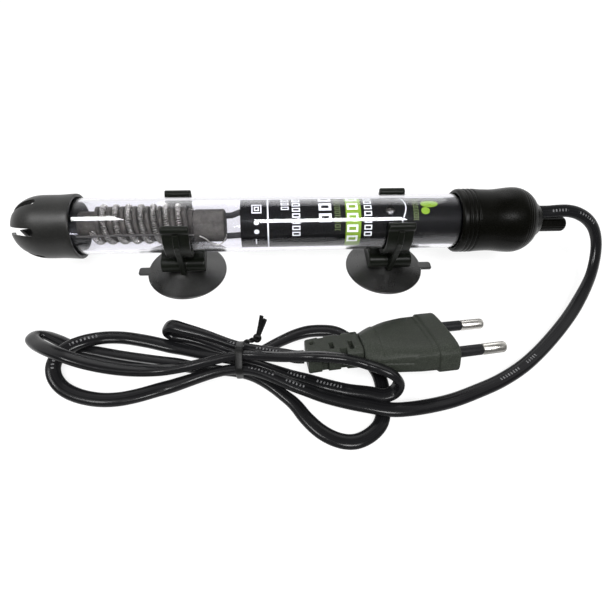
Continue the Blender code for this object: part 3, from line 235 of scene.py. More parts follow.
def smooth_route(points, step=0.0004):
    """Points every step or so on a smooth curve through the route's own points.

    Between two points it is the cubic with their places and slopes, over a parameter that
    grows with the square root of their distance; a slope is the mean of its two sides.
    """
    p = np.asarray(points, float)
    t = np.concatenate([[0.0], np.cumsum(np.linalg.norm(np.diff(p, axis=0), axis=1) ** 0.5)])
    rate = np.diff(p, axis=0) / np.diff(t)[:, None]
    before, after = np.diff(t)[:-1, None], np.diff(t)[1:, None]
    slope = np.vstack([rate[:1], (rate[:-1] * after + rate[1:] * before) / (before + after),
                       rate[-1:]])
    out = []
    for i in range(len(p) - 1):
        count = max(4, int(np.linalg.norm(p[i + 1] - p[i]) / step))
        u = (np.arange(count) / count)[:, None]
        h = t[i + 1] - t[i]
        out.append((2 * u ** 3 - 3 * u ** 2 + 1) * p[i] + (u ** 3 - 2 * u ** 2 + u) * h * slope[i]
                   + (3 * u ** 2 - 2 * u ** 3) * p[i + 1] + (u ** 3 - u ** 2) * h * slope[i + 1])
    out.append(p[-1:])
    return np.concatenate(out)


def evenly(line, step):
    """The line's points read again at even distances of about step."""
    s = np.concatenate([[0.0], np.cumsum(np.linalg.norm(np.diff(line, axis=0), axis=1))])
    marks = np.linspace(0, s[-1], int(round(s[-1] / step)) + 1)
    return np.stack([np.interp(marks, s, line[:, k]) for k in range(3)], -1), marks


def unit(rows):
    """Rows scaled to length one."""
    return rows / np.linalg.norm(rows, axis=-1, keepdims=True)


def frames(path, start=(0.0, 0.0, 1.0), level=0.0):
    """Side and normal at each ring of a path, carried along with the least twist.

    Each side is the last one less its part along the new tangent.  Where level, a number or
    one for each ring, is above nought it also leans towards the horizontal by that share,
    so that a flat cord lies flat.
    """
    tangent = unit(np.gradient(path, axis=0))
    side = np.empty_like(path)
    guess = np.cross(np.asarray(start, float), tangent[0])
    level = np.broadcast_to(level, len(path))
    for k, along in enumerate(tangent):
        guess = guess - along * guess.dot(along)
        guess /= np.linalg.norm(guess)
        flat = np.cross((0.0, 0.0, 1.0), along)
        weight = np.linalg.norm(flat)
        if level[k] > 0 and weight > 0.2:
            flat = flat / weight * (1.0 if flat.dot(guess) >= 0 else -1.0)
            guess = guess + (flat - guess) * level[k] * weight
            guess /= np.linalg.norm(guess)
        side[k] = guess
    return tangent, side, np.cross(tangent, side)


def swept(path, section, closed=False, start=(0.0, 0.0, 1.0), level=0.0):
    """Shape of a section carried along a path: ring point = path + a side + b normal.

    section is (columns, 2), or (rows, columns, 2) where it changes along the path.  A closed
    path has no ends.
    """
    _, side, normal = frames(path, start, level)
    section = np.broadcast_to(section, (len(path),) + np.shape(section)[-2:])
    grid = (path[:, None] + section[..., :1] * side[:, None] + section[..., 1:] * normal[:, None])
    if closed:
        return grid.reshape(-1, 3), grid_quads(*grid.shape[:2], True, True), np.zeros((0, 3), int)
    return capped(grid, path[:1], path[-1:])


def ellipse(half_w, half_t, count, power=2.0):
    """Section |a / half_w|^power + |b / half_t|^power = 1."""
    t = np.linspace(0, 2 * math.pi, count, endpoint=False)
    c, s = np.cos(t), np.sin(t)
    return np.stack([half_w * np.sign(c) * np.abs(c) ** (2 / power),
                     half_t * np.sign(s) * np.abs(s) ** (2 / power)], -1)


# ---------------------------------------------------------------- moulded skins
def moulded(field, low, high, cell):
    """Skin of a field: the surface where it is nought, inside being below nought.

    Each grid cell that the surface crosses gets one point, at the mean of the crossings of
    its edges.  The points then step onto the surface along the field's gradient, and the
    four cells round each crossed edge make a face.
    """
    low, high = np.asarray(low, float), np.asarray(high, float)
    counts = np.ceil((high - low) / cell).astype(int) + 1
    axes = [low[k] + cell * np.arange(counts[k]) for k in range(3)]
    nodes = np.stack(np.meshgrid(*axes, indexing="ij"), -1)
    value = field(nodes)
    cells = tuple(counts - 1)
    total, number, crossings = np.zeros(cells + (3,)), np.zeros(cells), []
    for axis in range(3):
        lead, trail = [slice(None)] * 3, [slice(None)] * 3
        lead[axis], trail[axis] = slice(0, -1), slice(1, None)
        a, b = value[tuple(lead)], value[tuple(trail)]
        crossed = (a < 0) != (b < 0)
        spot = nodes[tuple(lead)].copy()
        spot[..., axis] += cell * np.where(crossed, a / np.where(crossed, a - b, 1.0), 0.0)
        crossings.append(crossed)
        first, second = [k for k in range(3) if k != axis]
        for da in (0, 1):
            for db in (0, 1):
                part = [slice(None)] * 3
                part[first] = slice(da, da + cells[first])
                part[second] = slice(db, db + cells[second])
                here = crossed[tuple(part)]
                total += np.where(here[..., None], spot[tuple(part)], 0.0)
                number += here
    used = number > 0
    index = np.full(cells, -1)
    index[used] = np.arange(used.sum())
    points = total[used] / number[used][:, None]
    quads = []
    for axis in range(3):
        edges = np.argwhere(crossings[axis])
        ring = []
        for d1, d2 in ((0, 0), (1, 0), (1, 1), (0, 1)):
            cell_at = edges.copy()
            cell_at[:, (axis + 1) % 3] -= d1
            cell_at[:, (axis + 2) % 3] -= d2
            ring.append(index[tuple(cell_at.T)])
        quad = np.stack(ring, -1)
        backwards = value[tuple(edges.T)] > 0
        quad[backwards] = quad[backwards][:, ::-1]
        quads.append(quad)
    step = cell * 0.1
    for _ in range(3):
        slope = np.stack([(field(points + step * e) - field(points - step * e)) / (2 * step)
                          for e in np.eye(3)], -1)
        size = np.maximum((slope ** 2).sum(-1), 0.2)
        points = points - slope * np.clip(field(points) / size, -0.4 * cell, 0.4 * cell)[:, None]
    return points, np.concatenate(quads), np.zeros((0, 3), int)


def merge(a, b, soft):
    """Union of two fields with a fillet of about soft."""
    h = np.clip(soft - np.abs(a - b), 0, None) / soft
    return np.minimum(a, b) - h * h * soft / 4


def within(a, b, soft):
    """Common part of two fields with an edge rounded by about soft."""
    return -merge(-a, -b, soft)


def block(x, y, z, half, edge):
    """Field of a box about the origin with rounded edges."""
    q = np.stack([np.abs(x) - half[0] + edge, np.abs(y) - half[1] + edge,
                  np.abs(z) - half[2] + edge], -1)
    outside = np.linalg.norm(np.maximum(q, 0), axis=-1)
    return outside + np.minimum(q.max(-1), 0) - edge


def bar(u, v, half_u, half_v, edge):
    """Field of a rounded rectangle in a plane."""
    a, b = np.abs(u) - half_u + edge, np.abs(v) - half_v + edge
    return np.hypot(np.maximum(a, 0), np.maximum(b, 0)) + np.minimum(np.maximum(a, b), 0) - edge


# ---------------------------------------------------------------- shader nodes
def new_material(name, rgb, rough, metal=0.0):
    """A Principled material and its node tree."""
    mat = bpy.data.materials.new(name)
    mat.use_nodes = True
    shader = mat.node_tree.nodes["Principled BSDF"]
    shader.inputs["Base Color"].default_value = (*rgb, 1.0)
    shader.inputs["Roughness"].default_value = rough
    shader.inputs["Metallic"].default_value = metal
    return mat, mat.node_tree, shader


def put(tree, kind, **values):
    """A node of a kind; a value is a number, a colour or another node's output."""
    node = tree.nodes.new("ShaderNode" + kind)
    for name, value in values.items():
        if hasattr(node, name) and not name[0].isupper():
            setattr(node, name, value)
            continue
        key = int(name[1:]) if name[0] == "_" else name.replace("_", " ")
        if hasattr(value, "is_linked"):
            tree.links.new(value, node.inputs[key])
        else:
            node.inputs[key].default_value = value
    return node


def maths(tree, kind, a, b=0.0, c=0.0):
    """Output of a Math node."""
    node = tree.nodes.new("ShaderNodeMath")
    node.operation = kind
    for k, value in enumerate((a, b, c)):
        if hasattr(value, "is_linked"):
            tree.links.new(value, node.inputs[k])
        else:
            node.inputs[k].default_value = value
    return node.outputs[0]


def place_of(tree, scale=(1.0, 1.0, 1.0), turn=(0.0, 0.0, 0.0)):
    """Object coordinates, scaled and turned."""
    source = put(tree, "TexCoord").outputs["Object"]
    return put(tree, "Mapping", Vector=source, Scale=scale, Rotation=turn).outputs[0]


def noise(tree, where, scale, detail=3.0, rough=0.55):
    """Noise from 0 to 1, about 0.5."""
    return put(tree, "TexNoise", Vector=where, Scale=scale, Detail=detail,
               Roughness=rough).outputs["Fac"]


def ramp(tree, value, low, high, to_low=0.0, to_high=1.0):
    """A value mapped from one range to another, held at both ends."""
    node = put(tree, "MapRange", Value=value, From_Min=low, From_Max=high, To_Min=to_low,
               To_Max=to_high)
    return node.outputs[0]


def blend_colour(tree, share, first, second):
    """Colour between two colours."""
    node = tree.nodes.new("ShaderNodeMix")
    node.data_type = "RGBA"
    for k, value in ((0, share), (6, first), (7, second)):
        if hasattr(value, "is_linked"):
            tree.links.new(value, node.inputs[k])
        elif k:
            node.inputs[k].default_value = (*value, 1.0)
        else:
            node.inputs[k].default_value = value
    return node.outputs[2]


def bump(tree, shader, height, depth, strength=1.0):
    """Bump of a height from 0 to 1, depth in metres."""
    node = put(tree, "Bump", Height=height, Distance=depth, Strength=strength)
    tree.links.new(node.outputs[0], shader.inputs["Normal"])


def moulded_plastic(name, dark, pale, rough, grain=2600.0, depth=0.00002, sheen=0.06,
                    gleam=0.18):
    """Moulded plastic: cloudy colour, fine speckle, uneven gloss and a fine grain."""
    mat, tree, shader = new_material(name, dark, rough)
    shader.inputs["Specular IOR Level"].default_value = gleam
    where = place_of(tree)
    cloud = noise(tree, where, 90.0, 4.0)
    speck = noise(tree, where, grain, 2.0, 0.6)
    share = maths(tree, "MULTIPLY", ramp(tree, speck, 0.42, 0.72), ramp(tree, cloud, 0.3, 0.7, 0.4, 1))
    tree.links.new(blend_colour(tree, share, dark, pale), shader.inputs["Base Color"])
    gloss = maths(tree, "ADD", ramp(tree, cloud, 0.3, 0.7, rough - sheen, rough + sheen),
                  ramp(tree, speck, 0.3, 0.7, -0.04, 0.05))
    tree.links.new(gloss, shader.inputs["Roughness"])
    bump(tree, shader, speck, depth)
    return mat


# ---------------------------------------------------------------- camera
def make_camera():
    """Camera at the photograph's place and angle: pitch down, yaw and roll in radians."""
    pitch, yaw, roll = 0.85726, 0.09782, 0.04749
    place = np.array([-0.01089, -0.14961, 0.14862])
    focal_px, frame_px, sensor = 470.0, 610.0, 36.0
    forward = np.array([math.sin(yaw) * math.cos(pitch), math.cos(yaw) * math.cos(pitch),
                        -math.sin(pitch)])
    level = np.array([math.cos(yaw), -math.sin(yaw), 0.0])
    rise = np.cross(level, forward)
    right = level * math.cos(roll) + rise * math.sin(roll)
    up = rise * math.cos(roll) - level * math.sin(roll)
    data = bpy.data.cameras.new("camera")
    data.sensor_width = sensor
    data.lens = focal_px / frame_px * sensor
    data.clip_start = 0.001
    camera = bpy.data.objects.new("camera", data)
    turn = Matrix((right, up, -forward)).transposed().to_4x4()
    camera.matrix_world = Matrix.Translation(Vector(place)) @ turn
    bpy.context.scene.collection.objects.link(camera)
    bpy.context.scene.camera = camera


# ---------------------------------------------------------------- power cord
CORD_W, CORD_T = 2.6 * MM, 1.6 * MM      # half width and half thickness of the flat cord
TIED_W = 1.8 * MM                        # half width where the tie holds it
CORD_SIDES = 24
CORD_STEP = 0.75 * MM
CORD_ROUND = 13.0 * MM                   # way round its section
PRINT_EVERY, DASH_EVERY = 97 * MM, 1.3 * MM
TIE_X = -0.0239
GATHER = 26 * MM                         # how far from the tie the passes are drawn together
MEAN_STEPS, MEAN_SPREAD = 24, 9.0        # reach and spread of the running mean, in steps
OPEN_Y = -72 * MM                        # passes in front of this miss the tie

# from the seal cap to the tie
LEAD_ROUTE = [
    (0.0994, 0.0012, 0.0290), (0.1034, 0.0012, 0.0290), (0.1084, 0.0012, 0.0294),
    (0.1121, 0.0011, 0.0294), (0.1163, 0.0006, 0.0286), (0.1213, -0.0005, 0.0262),
    (0.1255, -0.0021, 0.0222), (0.1279, -0.0057, 0.0165), (0.1259, -0.0143, 0.0085),
    (0.1159, -0.0273, 0.0036), (0.1012, -0.0416, 0.0019), (0.0836, -0.0555, 0.0018),
    (0.0713, -0.0624, 0.0018), (0.0614, -0.0664, 0.0020), (0.0517, -0.0699, 0.0026),
    (0.0424, -0.0726, 0.0042), (0.0337, -0.0743, 0.0056), (0.0274, -0.0745, 0.0060),
    (0.0202, -0.0728, 0.0059), (0.0131, -0.0706, 0.0054), (0.0059, -0.0679, 0.0050),
    (-0.0015, -0.0648, 0.0054), (-0.0086, -0.0625, 0.0064), (-0.0137, -0.0604, 0.0078),
    (-0.0175, -0.0575, 0.0083), (-0.0212, -0.0566, 0.0081)]

# from the tie round the loops to the plug
HANK_ROUTE = [
    (-0.0215, -0.0566, 0.0081), (-0.0246, -0.0566, 0.0081), (-0.0281, -0.0568, 0.0081),
    (-0.0364, -0.0587, 0.0066), (-0.0426, -0.0593, 0.0042), (-0.0477, -0.0599, 0.0025),
    (-0.0521, -0.0607, 0.0019), (-0.0606, -0.0631, 0.0018), (-0.0669, -0.0641, 0.0018),
    (-0.0734, -0.0638, 0.0018), (-0.0813, -0.0615, 0.0018), (-0.0865, -0.0584, 0.0022),
    (-0.0895, -0.0548, 0.0034), (-0.0904, -0.0513, 0.0046), (-0.0895, -0.0472, 0.0054),
    (-0.0867, -0.0440, 0.0057), (-0.0820, -0.0412, 0.0054), (-0.0762, -0.0384, 0.0036),
    (-0.0696, -0.0375, 0.0022), (-0.0598, -0.0394, 0.0018), (-0.0499, -0.0425, 0.0018),
    (-0.0443, -0.0445, 0.0026), (-0.0375, -0.0480, 0.0046), (-0.0281, -0.0529, 0.0070),
    (-0.0239, -0.0529, 0.0070), (-0.0196, -0.0529, 0.0070), (-0.0147, -0.0558, 0.0058),
    (-0.0088, -0.0573, 0.0036), (-0.0011, -0.0594, 0.0028), (0.0065, -0.0624, 0.0030),
    (0.0138, -0.0657, 0.0046), (0.0210, -0.0679, 0.0060), (0.0259, -0.0694, 0.0066),
    (0.0295, -0.0686, 0.0080), (0.0304, -0.0676, 0.0120), (0.0279, -0.0668, 0.0156),
    (0.0237, -0.0648, 0.0165), (0.0199, -0.0628, 0.0162), (0.0159, -0.0617, 0.0169),
    (0.0114, -0.0612, 0.0180), (0.0064, -0.0606, 0.0183), (0.0021, -0.0601, 0.0182),
    (-0.0022, -0.0593, 0.0173), (-0.0059, -0.0582, 0.0158), (-0.0100, -0.0574, 0.0143),
    (-0.0138, -0.0566, 0.0127), (-0.0196, -0.0529, 0.0108), (-0.0239, -0.0529, 0.0108),
    (-0.0281, -0.0529, 0.0108), (-0.0355, -0.0559, 0.0099), (-0.0429, -0.0555, 0.0074),
    (-0.0522, -0.0550, 0.0054), (-0.0611, -0.0548, 0.0056), (-0.0698, -0.0540, 0.0066),
    (-0.0782, -0.0528, 0.0086), (-0.0858, -0.0503, 0.0097), (-0.0931, -0.0463, 0.0086),
    (-0.0985, -0.0420, 0.0064), (-0.1016, -0.0381, 0.0044), (-0.1014, -0.0353, 0.0028),
    (-0.0986, -0.0350, 0.0019), (-0.0940, -0.0371, 0.0018), (-0.0892, -0.0398, 0.0018),
    (-0.0843, -0.0420, 0.0018), (-0.0779, -0.0438, 0.0018), (-0.0681, -0.0463, 0.0018),
    (-0.0537, -0.0493, 0.0018), (-0.0441, -0.0512, 0.0021), (-0.0364, -0.0544, 0.0033),
    (-0.0281, -0.0553, 0.0038), (-0.0239, -0.0553, 0.0038), (-0.0196, -0.0557, 0.0036),
    (-0.0162, -0.0597, 0.0026), (-0.0120, -0.0617, 0.0021), (-0.0082, -0.0641, 0.0018),
    (-0.0046, -0.0690, 0.0018), (-0.0012, -0.0742, 0.0018), (0.0033, -0.0792, 0.0018),
    (0.0077, -0.0821, 0.0018), (0.0119, -0.0834, 0.0018), (0.0156, -0.0832, 0.0018),
    (0.0202, -0.0811, 0.0018), (0.0238, -0.0777, 0.0018), (0.0256, -0.0735, 0.0018),
    (0.0264, -0.0687, 0.0018), (0.0270, -0.0630, 0.0018), (0.0263, -0.0570, 0.0018),
    (0.0234, -0.0511, 0.0018), (0.0202, -0.0454, 0.0018), (0.0167, -0.0407, 0.0018),
    (0.0124, -0.0376, 0.0018), (0.0069, -0.0367, 0.0018), (0.0002, -0.0372, 0.0018),
    (-0.0065, -0.0393, 0.0018), (-0.0112, -0.0424, 0.0021), (-0.0154, -0.0460, 0.0032),
    (-0.0196, -0.0505, 0.0038), (-0.0221, -0.0506, 0.0038), (-0.0257, -0.0503, 0.0038),
    (-0.0297, -0.0470, 0.0036), (-0.0339, -0.0434, 0.0030), (-0.0387, -0.0406, 0.0024),
    (-0.0442, -0.0387, 0.0021), (-0.0492, -0.0376, 0.0024), (-0.0519, -0.0367, 0.0042),
    (-0.0517, -0.0369, 0.0068), (-0.0491, -0.0381, 0.0092), (-0.0440, -0.0403, 0.0098),
    (-0.0376, -0.0428, 0.0096), (-0.0317, -0.0441, 0.0089), (-0.0287, -0.0466, 0.0085),
    (-0.0257, -0.0489, 0.0082), (-0.0221, -0.0491, 0.0082), (-0.0191, -0.0491, 0.0082),
    (-0.0141, -0.0498, 0.0082), (-0.0095, -0.0520, 0.0087), (-0.0038, -0.0548, 0.00995),
    (-0.0004, -0.0546, 0.01005)]


def cord_line():
    """The cord's middle line, even points from the seal cap to the plug, and distances."""
    lead, hank = smooth_route(LEAD_ROUTE), smooth_route(HANK_ROUTE)
    path, marks = evenly(np.concatenate([lead, hank]), CORD_STEP)
    # near the tie each pass follows its own running mean, so that it comes in straight
    steps = np.arange(-MEAN_STEPS, MEAN_STEPS + 1)
    weight = np.exp(-0.5 * (steps / MEAN_SPREAD) ** 2)
    weight /= weight.sum()
    padded = np.pad(path, ((MEAN_STEPS, MEAN_STEPS), (0, 0)), mode="edge")
    mean = np.stack([np.convolve(padded[:, k], weight, "valid") for k in range(3)], -1)
    share = np.clip((GATHER - np.abs(path[:, :1] - TIE_X)) / (10 * MM), 0, 1)
    share = share * np.clip((path[:, 1:2] - OPEN_Y) / (6 * MM), 0, 1)
    return path + (mean - path) * share, marks


def cord_material():
    """Glossy black jacket with faint drawing lines along it and groups of pale dashes.

    The piece's UV map holds metres along the cord and metres round it from one flat side's
    middle, so the dashes follow the cord.
    """
    mat, tree, shader = new_material("cord_jacket", (0.008, 0.008, 0.009), 0.26)
    shader.inputs["Specular IOR Level"].default_value = 0.22
    uv = put(tree, "SeparateXYZ", Vector=put(tree, "UVMap", uv_map="surface").outputs[0])
    along, round_it = uv.outputs[0], uv.outputs[1]
    where = place_of(tree)
    drawn = put(tree, "CombineXYZ", X=maths(tree, "MULTIPLY", along, 12.0),
                Y=maths(tree, "MULTIPLY", round_it, 2600.0)).outputs[0]
    lines = noise(tree, drawn, 1.0, 3.0)
    cloud = noise(tree, where, 140.0, 4.0)
    group = maths(tree, "FRACT", maths(tree, "DIVIDE", along, PRINT_EVERY))
    in_group = maths(tree, "MAXIMUM", maths(tree, "COMPARE", group, 0.09, 0.035),
                     maths(tree, "COMPARE", group, 0.22, 0.05))
    dash = maths(tree, "FRACT", maths(tree, "DIVIDE", along, DASH_EVERY))
    mark = maths(tree, "MULTIPLY", maths(tree, "COMPARE", dash, 0.5, 0.22),
                 maths(tree, "COMPARE", round_it, 0.0, 0.00032))
    worn = ramp(tree, noise(tree, where, 2200.0, 2.0), 0.36, 0.5)
    ink = maths(tree, "MULTIPLY", maths(tree, "MULTIPLY", mark, in_group), worn)
    jacket = blend_colour(tree, ramp(tree, lines, 0.35, 0.7), (0.004, 0.004, 0.0045),
                          (0.011, 0.011, 0.012))
    tree.links.new(blend_colour(tree, ink, jacket, (0.16, 0.16, 0.165)), shader.inputs["Base Color"])
    tree.links.new(ramp(tree, cloud, 0.3, 0.7, 0.18, 0.29), shader.inputs["Roughness"])
    bump(tree, shader, lines, 0.00001, 0.5)
    return mat


def cord_section(path):
    """Flat oval section, drawn in towards round where the tie gathers the strands."""
    away = np.abs(path[:, 0] - TIE_X)
    share = np.clip((away - 4 * MM) / (24 * MM), 0, 1)
    share = share * share * (3 - 2 * share)
    wide = TIED_W + (CORD_W - TIED_W) * share
    oval = ellipse(1.0, 1.0, CORD_SIDES, 2.5)
    return np.stack([wide[:, None] * oval[None, :, 0],
                     np.full((len(path), 1), CORD_T) * oval[None, :, 1]], -1)


def make_cord():
    """The whole power cord, one flat tube along its route from the seal cap to the plug."""
    path, marks = cord_line()
    section = cord_section(path)
    # it leans flat only near the table, and leaves the seal cap with a wide side to the front
    lying = 0.06 * np.clip((8 * MM - path[:, 2]) / (4 * MM), 0, 1)
    points, quads, tris = swept(path, section, start=(0.0, -0.65, 0.76), level=lying)
    rows, cols = len(path), CORD_SIDES
    i, j = quads[:, 0] // cols, quads[:, 0] % cols
    width = CORD_ROUND / cols
    # column cols / 4 is the middle of the upper flat side
    columns = np.stack([j, j + 1, j + 1, j], -1) - cols / 4
    lengths = np.stack([marks[i], marks[i], marks[np.minimum(i + 1, rows - 1)],
                        marks[np.minimum(i + 1, rows - 1)]], -1)
    uv = np.stack([lengths, columns * width], -1)
    cord = add_piece("power_cord", (points, quads, tris), cord_material(), uv=uv)
    return cord, path


# ---------------------------------------------------------------- glass tube
def glass_material():
    """Clear glass that lets lamp light through, with faint smears in its gloss."""
    mat, tree, shader = new_material("clear_glass", (0.9, 0.895, 0.935), 0.0)
    shader.inputs["Transmission Weight"].default_value = 1.0
    shader.inputs["IOR"].default_value = 1.47
    where = place_of(tree, (0.25, 1.0, 1.0))
    smear = noise(tree, where, 90.0, 4.0)
    tree.links.new(ramp(tree, smear, 0.4, 0.8, 0.004, 0.009), shader.inputs["Roughness"])
    clear = put(tree, "BsdfTransparent", Color=(0.96, 0.97, 0.98, 1.0)).outputs[0]
    lamp = put(tree, "LightPath").outputs["Is Shadow Ray"]
    mix = put(tree, "MixShader", _0=lamp, _1=shader.outputs[0], _2=clear)
    tree.links.new(mix.outputs[0], tree.nodes["Material Output"].inputs["Surface"])
    return mat


def make_glass_tube():
    """Glass tube: a domed closed end, a fire-rounded open rim, and a 1.3 mm wall."""
    bore = TUBE_R - TUBE_WALL
    base = TUBE_LOW[0] + TUBE_DOME
    right = TUBE_HIGH[0]
    outer = dome(TUBE_LOW[0], base, TUBE_R, 24)
    inner = dome(TUBE_LOW[0] + TUBE_WALL, base, bore, 24)[::-1]
    rim = rounded([(right - 1.5 * MM, TUBE_R), (right, TUBE_R), (right, bore),
                   (right - 1.5 * MM, bore)], 0.55 * MM)
    return add_piece("glass_tube_clear", turned(np.concatenate([outer, rim, inner]), 128),
                     glass_material())


# ---------------------------------------------------------------- guard cap
SLOT_HALF = 1.5 * MM
SLOT_COUNT = 6
SLOT_TURN = math.radians(-30.0)
SLOT_DEEP = 12.5 * MM
GUARD_BLUNT = 2.1                 # power of the dome's outline


def slot_half(x, slot_end):
    """Half width of a nose slot at x: full width up to a half-round end."""
    past = np.clip(x - (slot_end - SLOT_HALF), 0, SLOT_HALF)
    return np.sqrt(np.maximum(SLOT_HALF ** 2 - past ** 2, 0))


def petal_rows(profile, slot_end, count):
    """Even rows of a profile from the slot's end to where two slots meet."""
    line = profile[profile[:, 0] <= slot_end + 1e-9]
    line = np.vstack([[slot_end, np.interp(slot_end, profile[:, 0], profile[:, 1])],
                      line[np.argsort(-line[:, 0])]])
    meet = SLOT_HALF / math.sin(math.pi / SLOT_COUNT)
    keep = line[:, 1] > meet
    tip = np.array([[np.interp(meet, line[::-1, 1], line[::-1, 0]), meet]])
    line = np.vstack([line[keep], tip])
    s = np.concatenate([[0.0], np.cumsum(np.linalg.norm(np.diff(line, axis=0), axis=1))])
    marks = np.linspace(0, s[-1], count)
    return np.stack([np.interp(marks, s, line[:, k]) for k in range(2)], -1)


def make_guard_cap(material):
    """Nose guard: a domed cup with a flared rim, its nose cut by six slots into petals.

    A petal's row spans the sector's 60 degrees less asin(slot half width / radius) at each
    side; its outer and inner rows close into a ring, and so wall the slots.
    """
    bore = TUBE_R + SEAT
    nose, rim = GUARD_LOW[0] + 0.5 * MM, GUARD_HIGH[0]
    base, wall = nose + 13.4 * MM, 1.2 * MM
    side = bore + 1.0 * MM
    slot_end = nose + SLOT_DEEP
    outer = np.vstack([dome(nose, base, side, 60, GUARD_BLUNT), [rim - 9 * MM, side]])
    inner = np.vstack([dome(nose + wall, base + 1.0 * MM, bore, 60, GUARD_BLUNT),
                       [rim - 9 * MM, bore]])
    half_turn, cols, rows = math.pi / SLOT_COUNT, 25, 40
    v = np.linspace(-1, 1, cols)
    grids = []
    for profile in (outer, inner):
        row = petal_rows(profile, slot_end, rows)
        narrow = np.arcsin(np.clip(slot_half(row[:, 0], slot_end) / row[:, 1], 0, 0.5))
        narrow[-1] = half_turn
        angle = v[None] * (half_turn - narrow)[:, None]
        grids.append((row, angle))
    shapes = []
    for k in range(SLOT_COUNT):
        middle = SLOT_TURN + half_turn * (2 * k + 1)
        parts = []
        for row, angle in grids:
            parts.append(round_axis(row[:, :1], row[:, 1:], angle + middle))
        grid = np.concatenate([parts[0], parts[1][:, ::-1]], 1)
        shapes.append((grid.reshape(-1, 3), grid_quads(rows, cols * 2, True), []))
    bead = side + 0.35 * MM
    out = outer[outer[:, 0] > slot_end]
    flare = np.linspace(0, 1, 16)
    flare = np.stack([rim - 7 * MM + 6.7 * MM * flare,
                      side + (bead - side) * flare ** 2 * (3 - 2 * flare)], -1)
    top = np.vstack([out[-1:], flare[:-1], rounded([flare[-1], (rim, bead - 0.1 * MM), (rim, bore),
                                                    (rim - 9 * MM, bore)], 0.45 * MM)])
    back = inner[inner[:, 0] > slot_end][::-1]
    body = np.vstack([[slot_end, grids[0][0][0, 1]], out[:-1], top, back,
                      [slot_end, grids[1][0][0, 1]]])
    turns = (SLOT_TURN + half_turn + half_turn * v[None, :-1]
             + 2 * half_turn * np.arange(SLOT_COUNT)[:, None]).ravel()
    grid = round_axis(body[:, :1], body[:, 1:], turns)
    shapes.append((grid.reshape(-1, 3), grid_quads(len(body), len(turns), True), []))
    cap = add_piece("guard_cap_slotted", joined(shapes), material)
    weld(cap.data)
    soften = cap.modifiers.new("edge", "BEVEL")
    soften.width = 0.22 * MM
    soften.segments = 2
    soften.limit_method = "ANGLE"
    soften.angle_limit = math.radians(50)
    return cap


def weld(mesh):
    """Join points that coincide, drop faces without area and turn the faces outwards."""
    work = bmesh.new()
    work.from_mesh(mesh)
    bmesh.ops.remove_doubles(work, verts=work.verts, dist=2e-6)
    bmesh.ops.dissolve_degenerate(work, edges=work.edges, dist=1e-6)
    bmesh.ops.recalc_face_normals(work, faces=work.faces)
    work.to_mesh(mesh)
    work.free()
    mesh.polygons.foreach_set("use_smooth", np.ones(len(mesh.polygons), bool))
    mesh.update()


# ---------------------------------------------------------------- seal cap and knob
KNOB_Y, KNOB_Z = 0.1 * MM, AXIS_Z - 2.6 * MM
CORD_Y, CORD_Z = 1.2 * MM, AXIS_Z + 3.0 * MM
SHAFT_BORE, GLAND_BORE = 1.55 * MM, 2.7 * MM


def make_seal_cap(material):
    """Rubber seal cap: rolled rim, two ring grooves, a waist, a dome and a stepped end.

    Between waist and bulge the radius swings by a cosine; the end follows an ellipse with
    fine ring lines where it turns over.
    """
    bore = TUBE_R + SEAT
    r = bore + 1.6 * MM
    rim, end = SEAL_LOW[0], SEAL_HIGH[0]
    bottom = TUBE_HIGH[0] + 2.1 * MM
    swell = 0.4 * MM
    waist, bulge = rim + 13.9 * MM, bottom + 2.0 * MM
    start = [(rim + 6 * MM, bore), (rim, bore), (rim, r - 0.75 * MM), (rim + 0.8 * MM, r - 0.12 * MM),
             (rim + 2.0 * MM, r)]
    for at in (rim + 2.5 * MM, rim + 4.2 * MM, rim + 5.9 * MM):
        start += [(at, r), (at + 0.25 * MM, r - 0.36 * MM), (at + 0.7 * MM, r - 0.36 * MM),
                  (at + 0.95 * MM, r)]
    start.append((waist - 3.4 * MM, r - 0.28 * MM))
    t = np.linspace(0, 1, 24)
    swing = np.stack([waist + (bulge - waist) * t, r - np.cos(math.pi * t) * swell], -1)
    over = dome(bulge + 11.0 * MM, bulge, r + swell, 90)[::-1]
    over = over[over[:, 0] < end - 4.0 * MM]
    ring_at = bulge + np.array([2.1, 3.1, 4.2]) * MM
    ring = np.exp(-((over[:, :1] - ring_at) / (0.22 * MM)) ** 2).sum(1)
    over[:, 1] -= 0.1 * MM * ring
    step = rounded([over[-1], (end - 4.0 * MM, 9.85 * MM), (end - 3.1 * MM, 8.4 * MM),
                    (end - 0.5 * MM, 6.5 * MM), (end, 5.7 * MM), (end, 0.4 * MM)], 0.9 * MM)
    profile = np.vstack([[bottom, 0.0], rounded([(bottom, 0.4 * MM), (bottom, bore)]
                                                + start, 0.3 * MM), swing, over[1:], step[1:],
                         [end, 0.0]])
    cap = add_piece("seal_cap_rubber", turned(profile, 144), material)
    for name, y, z, radius in (("shaft", KNOB_Y, KNOB_Z, SHAFT_BORE),
                               ("gland", CORD_Y, CORD_Z, GLAND_BORE)):
        ends = [(bottom - 2 * MM, 0.0), (bottom - 2 * MM, radius), (end + 2 * MM, radius),
                (end + 2 * MM, 0.0)]
        cut(cap, add_piece(name, turned(ends, 48, y, z), material), 40)
    return cap


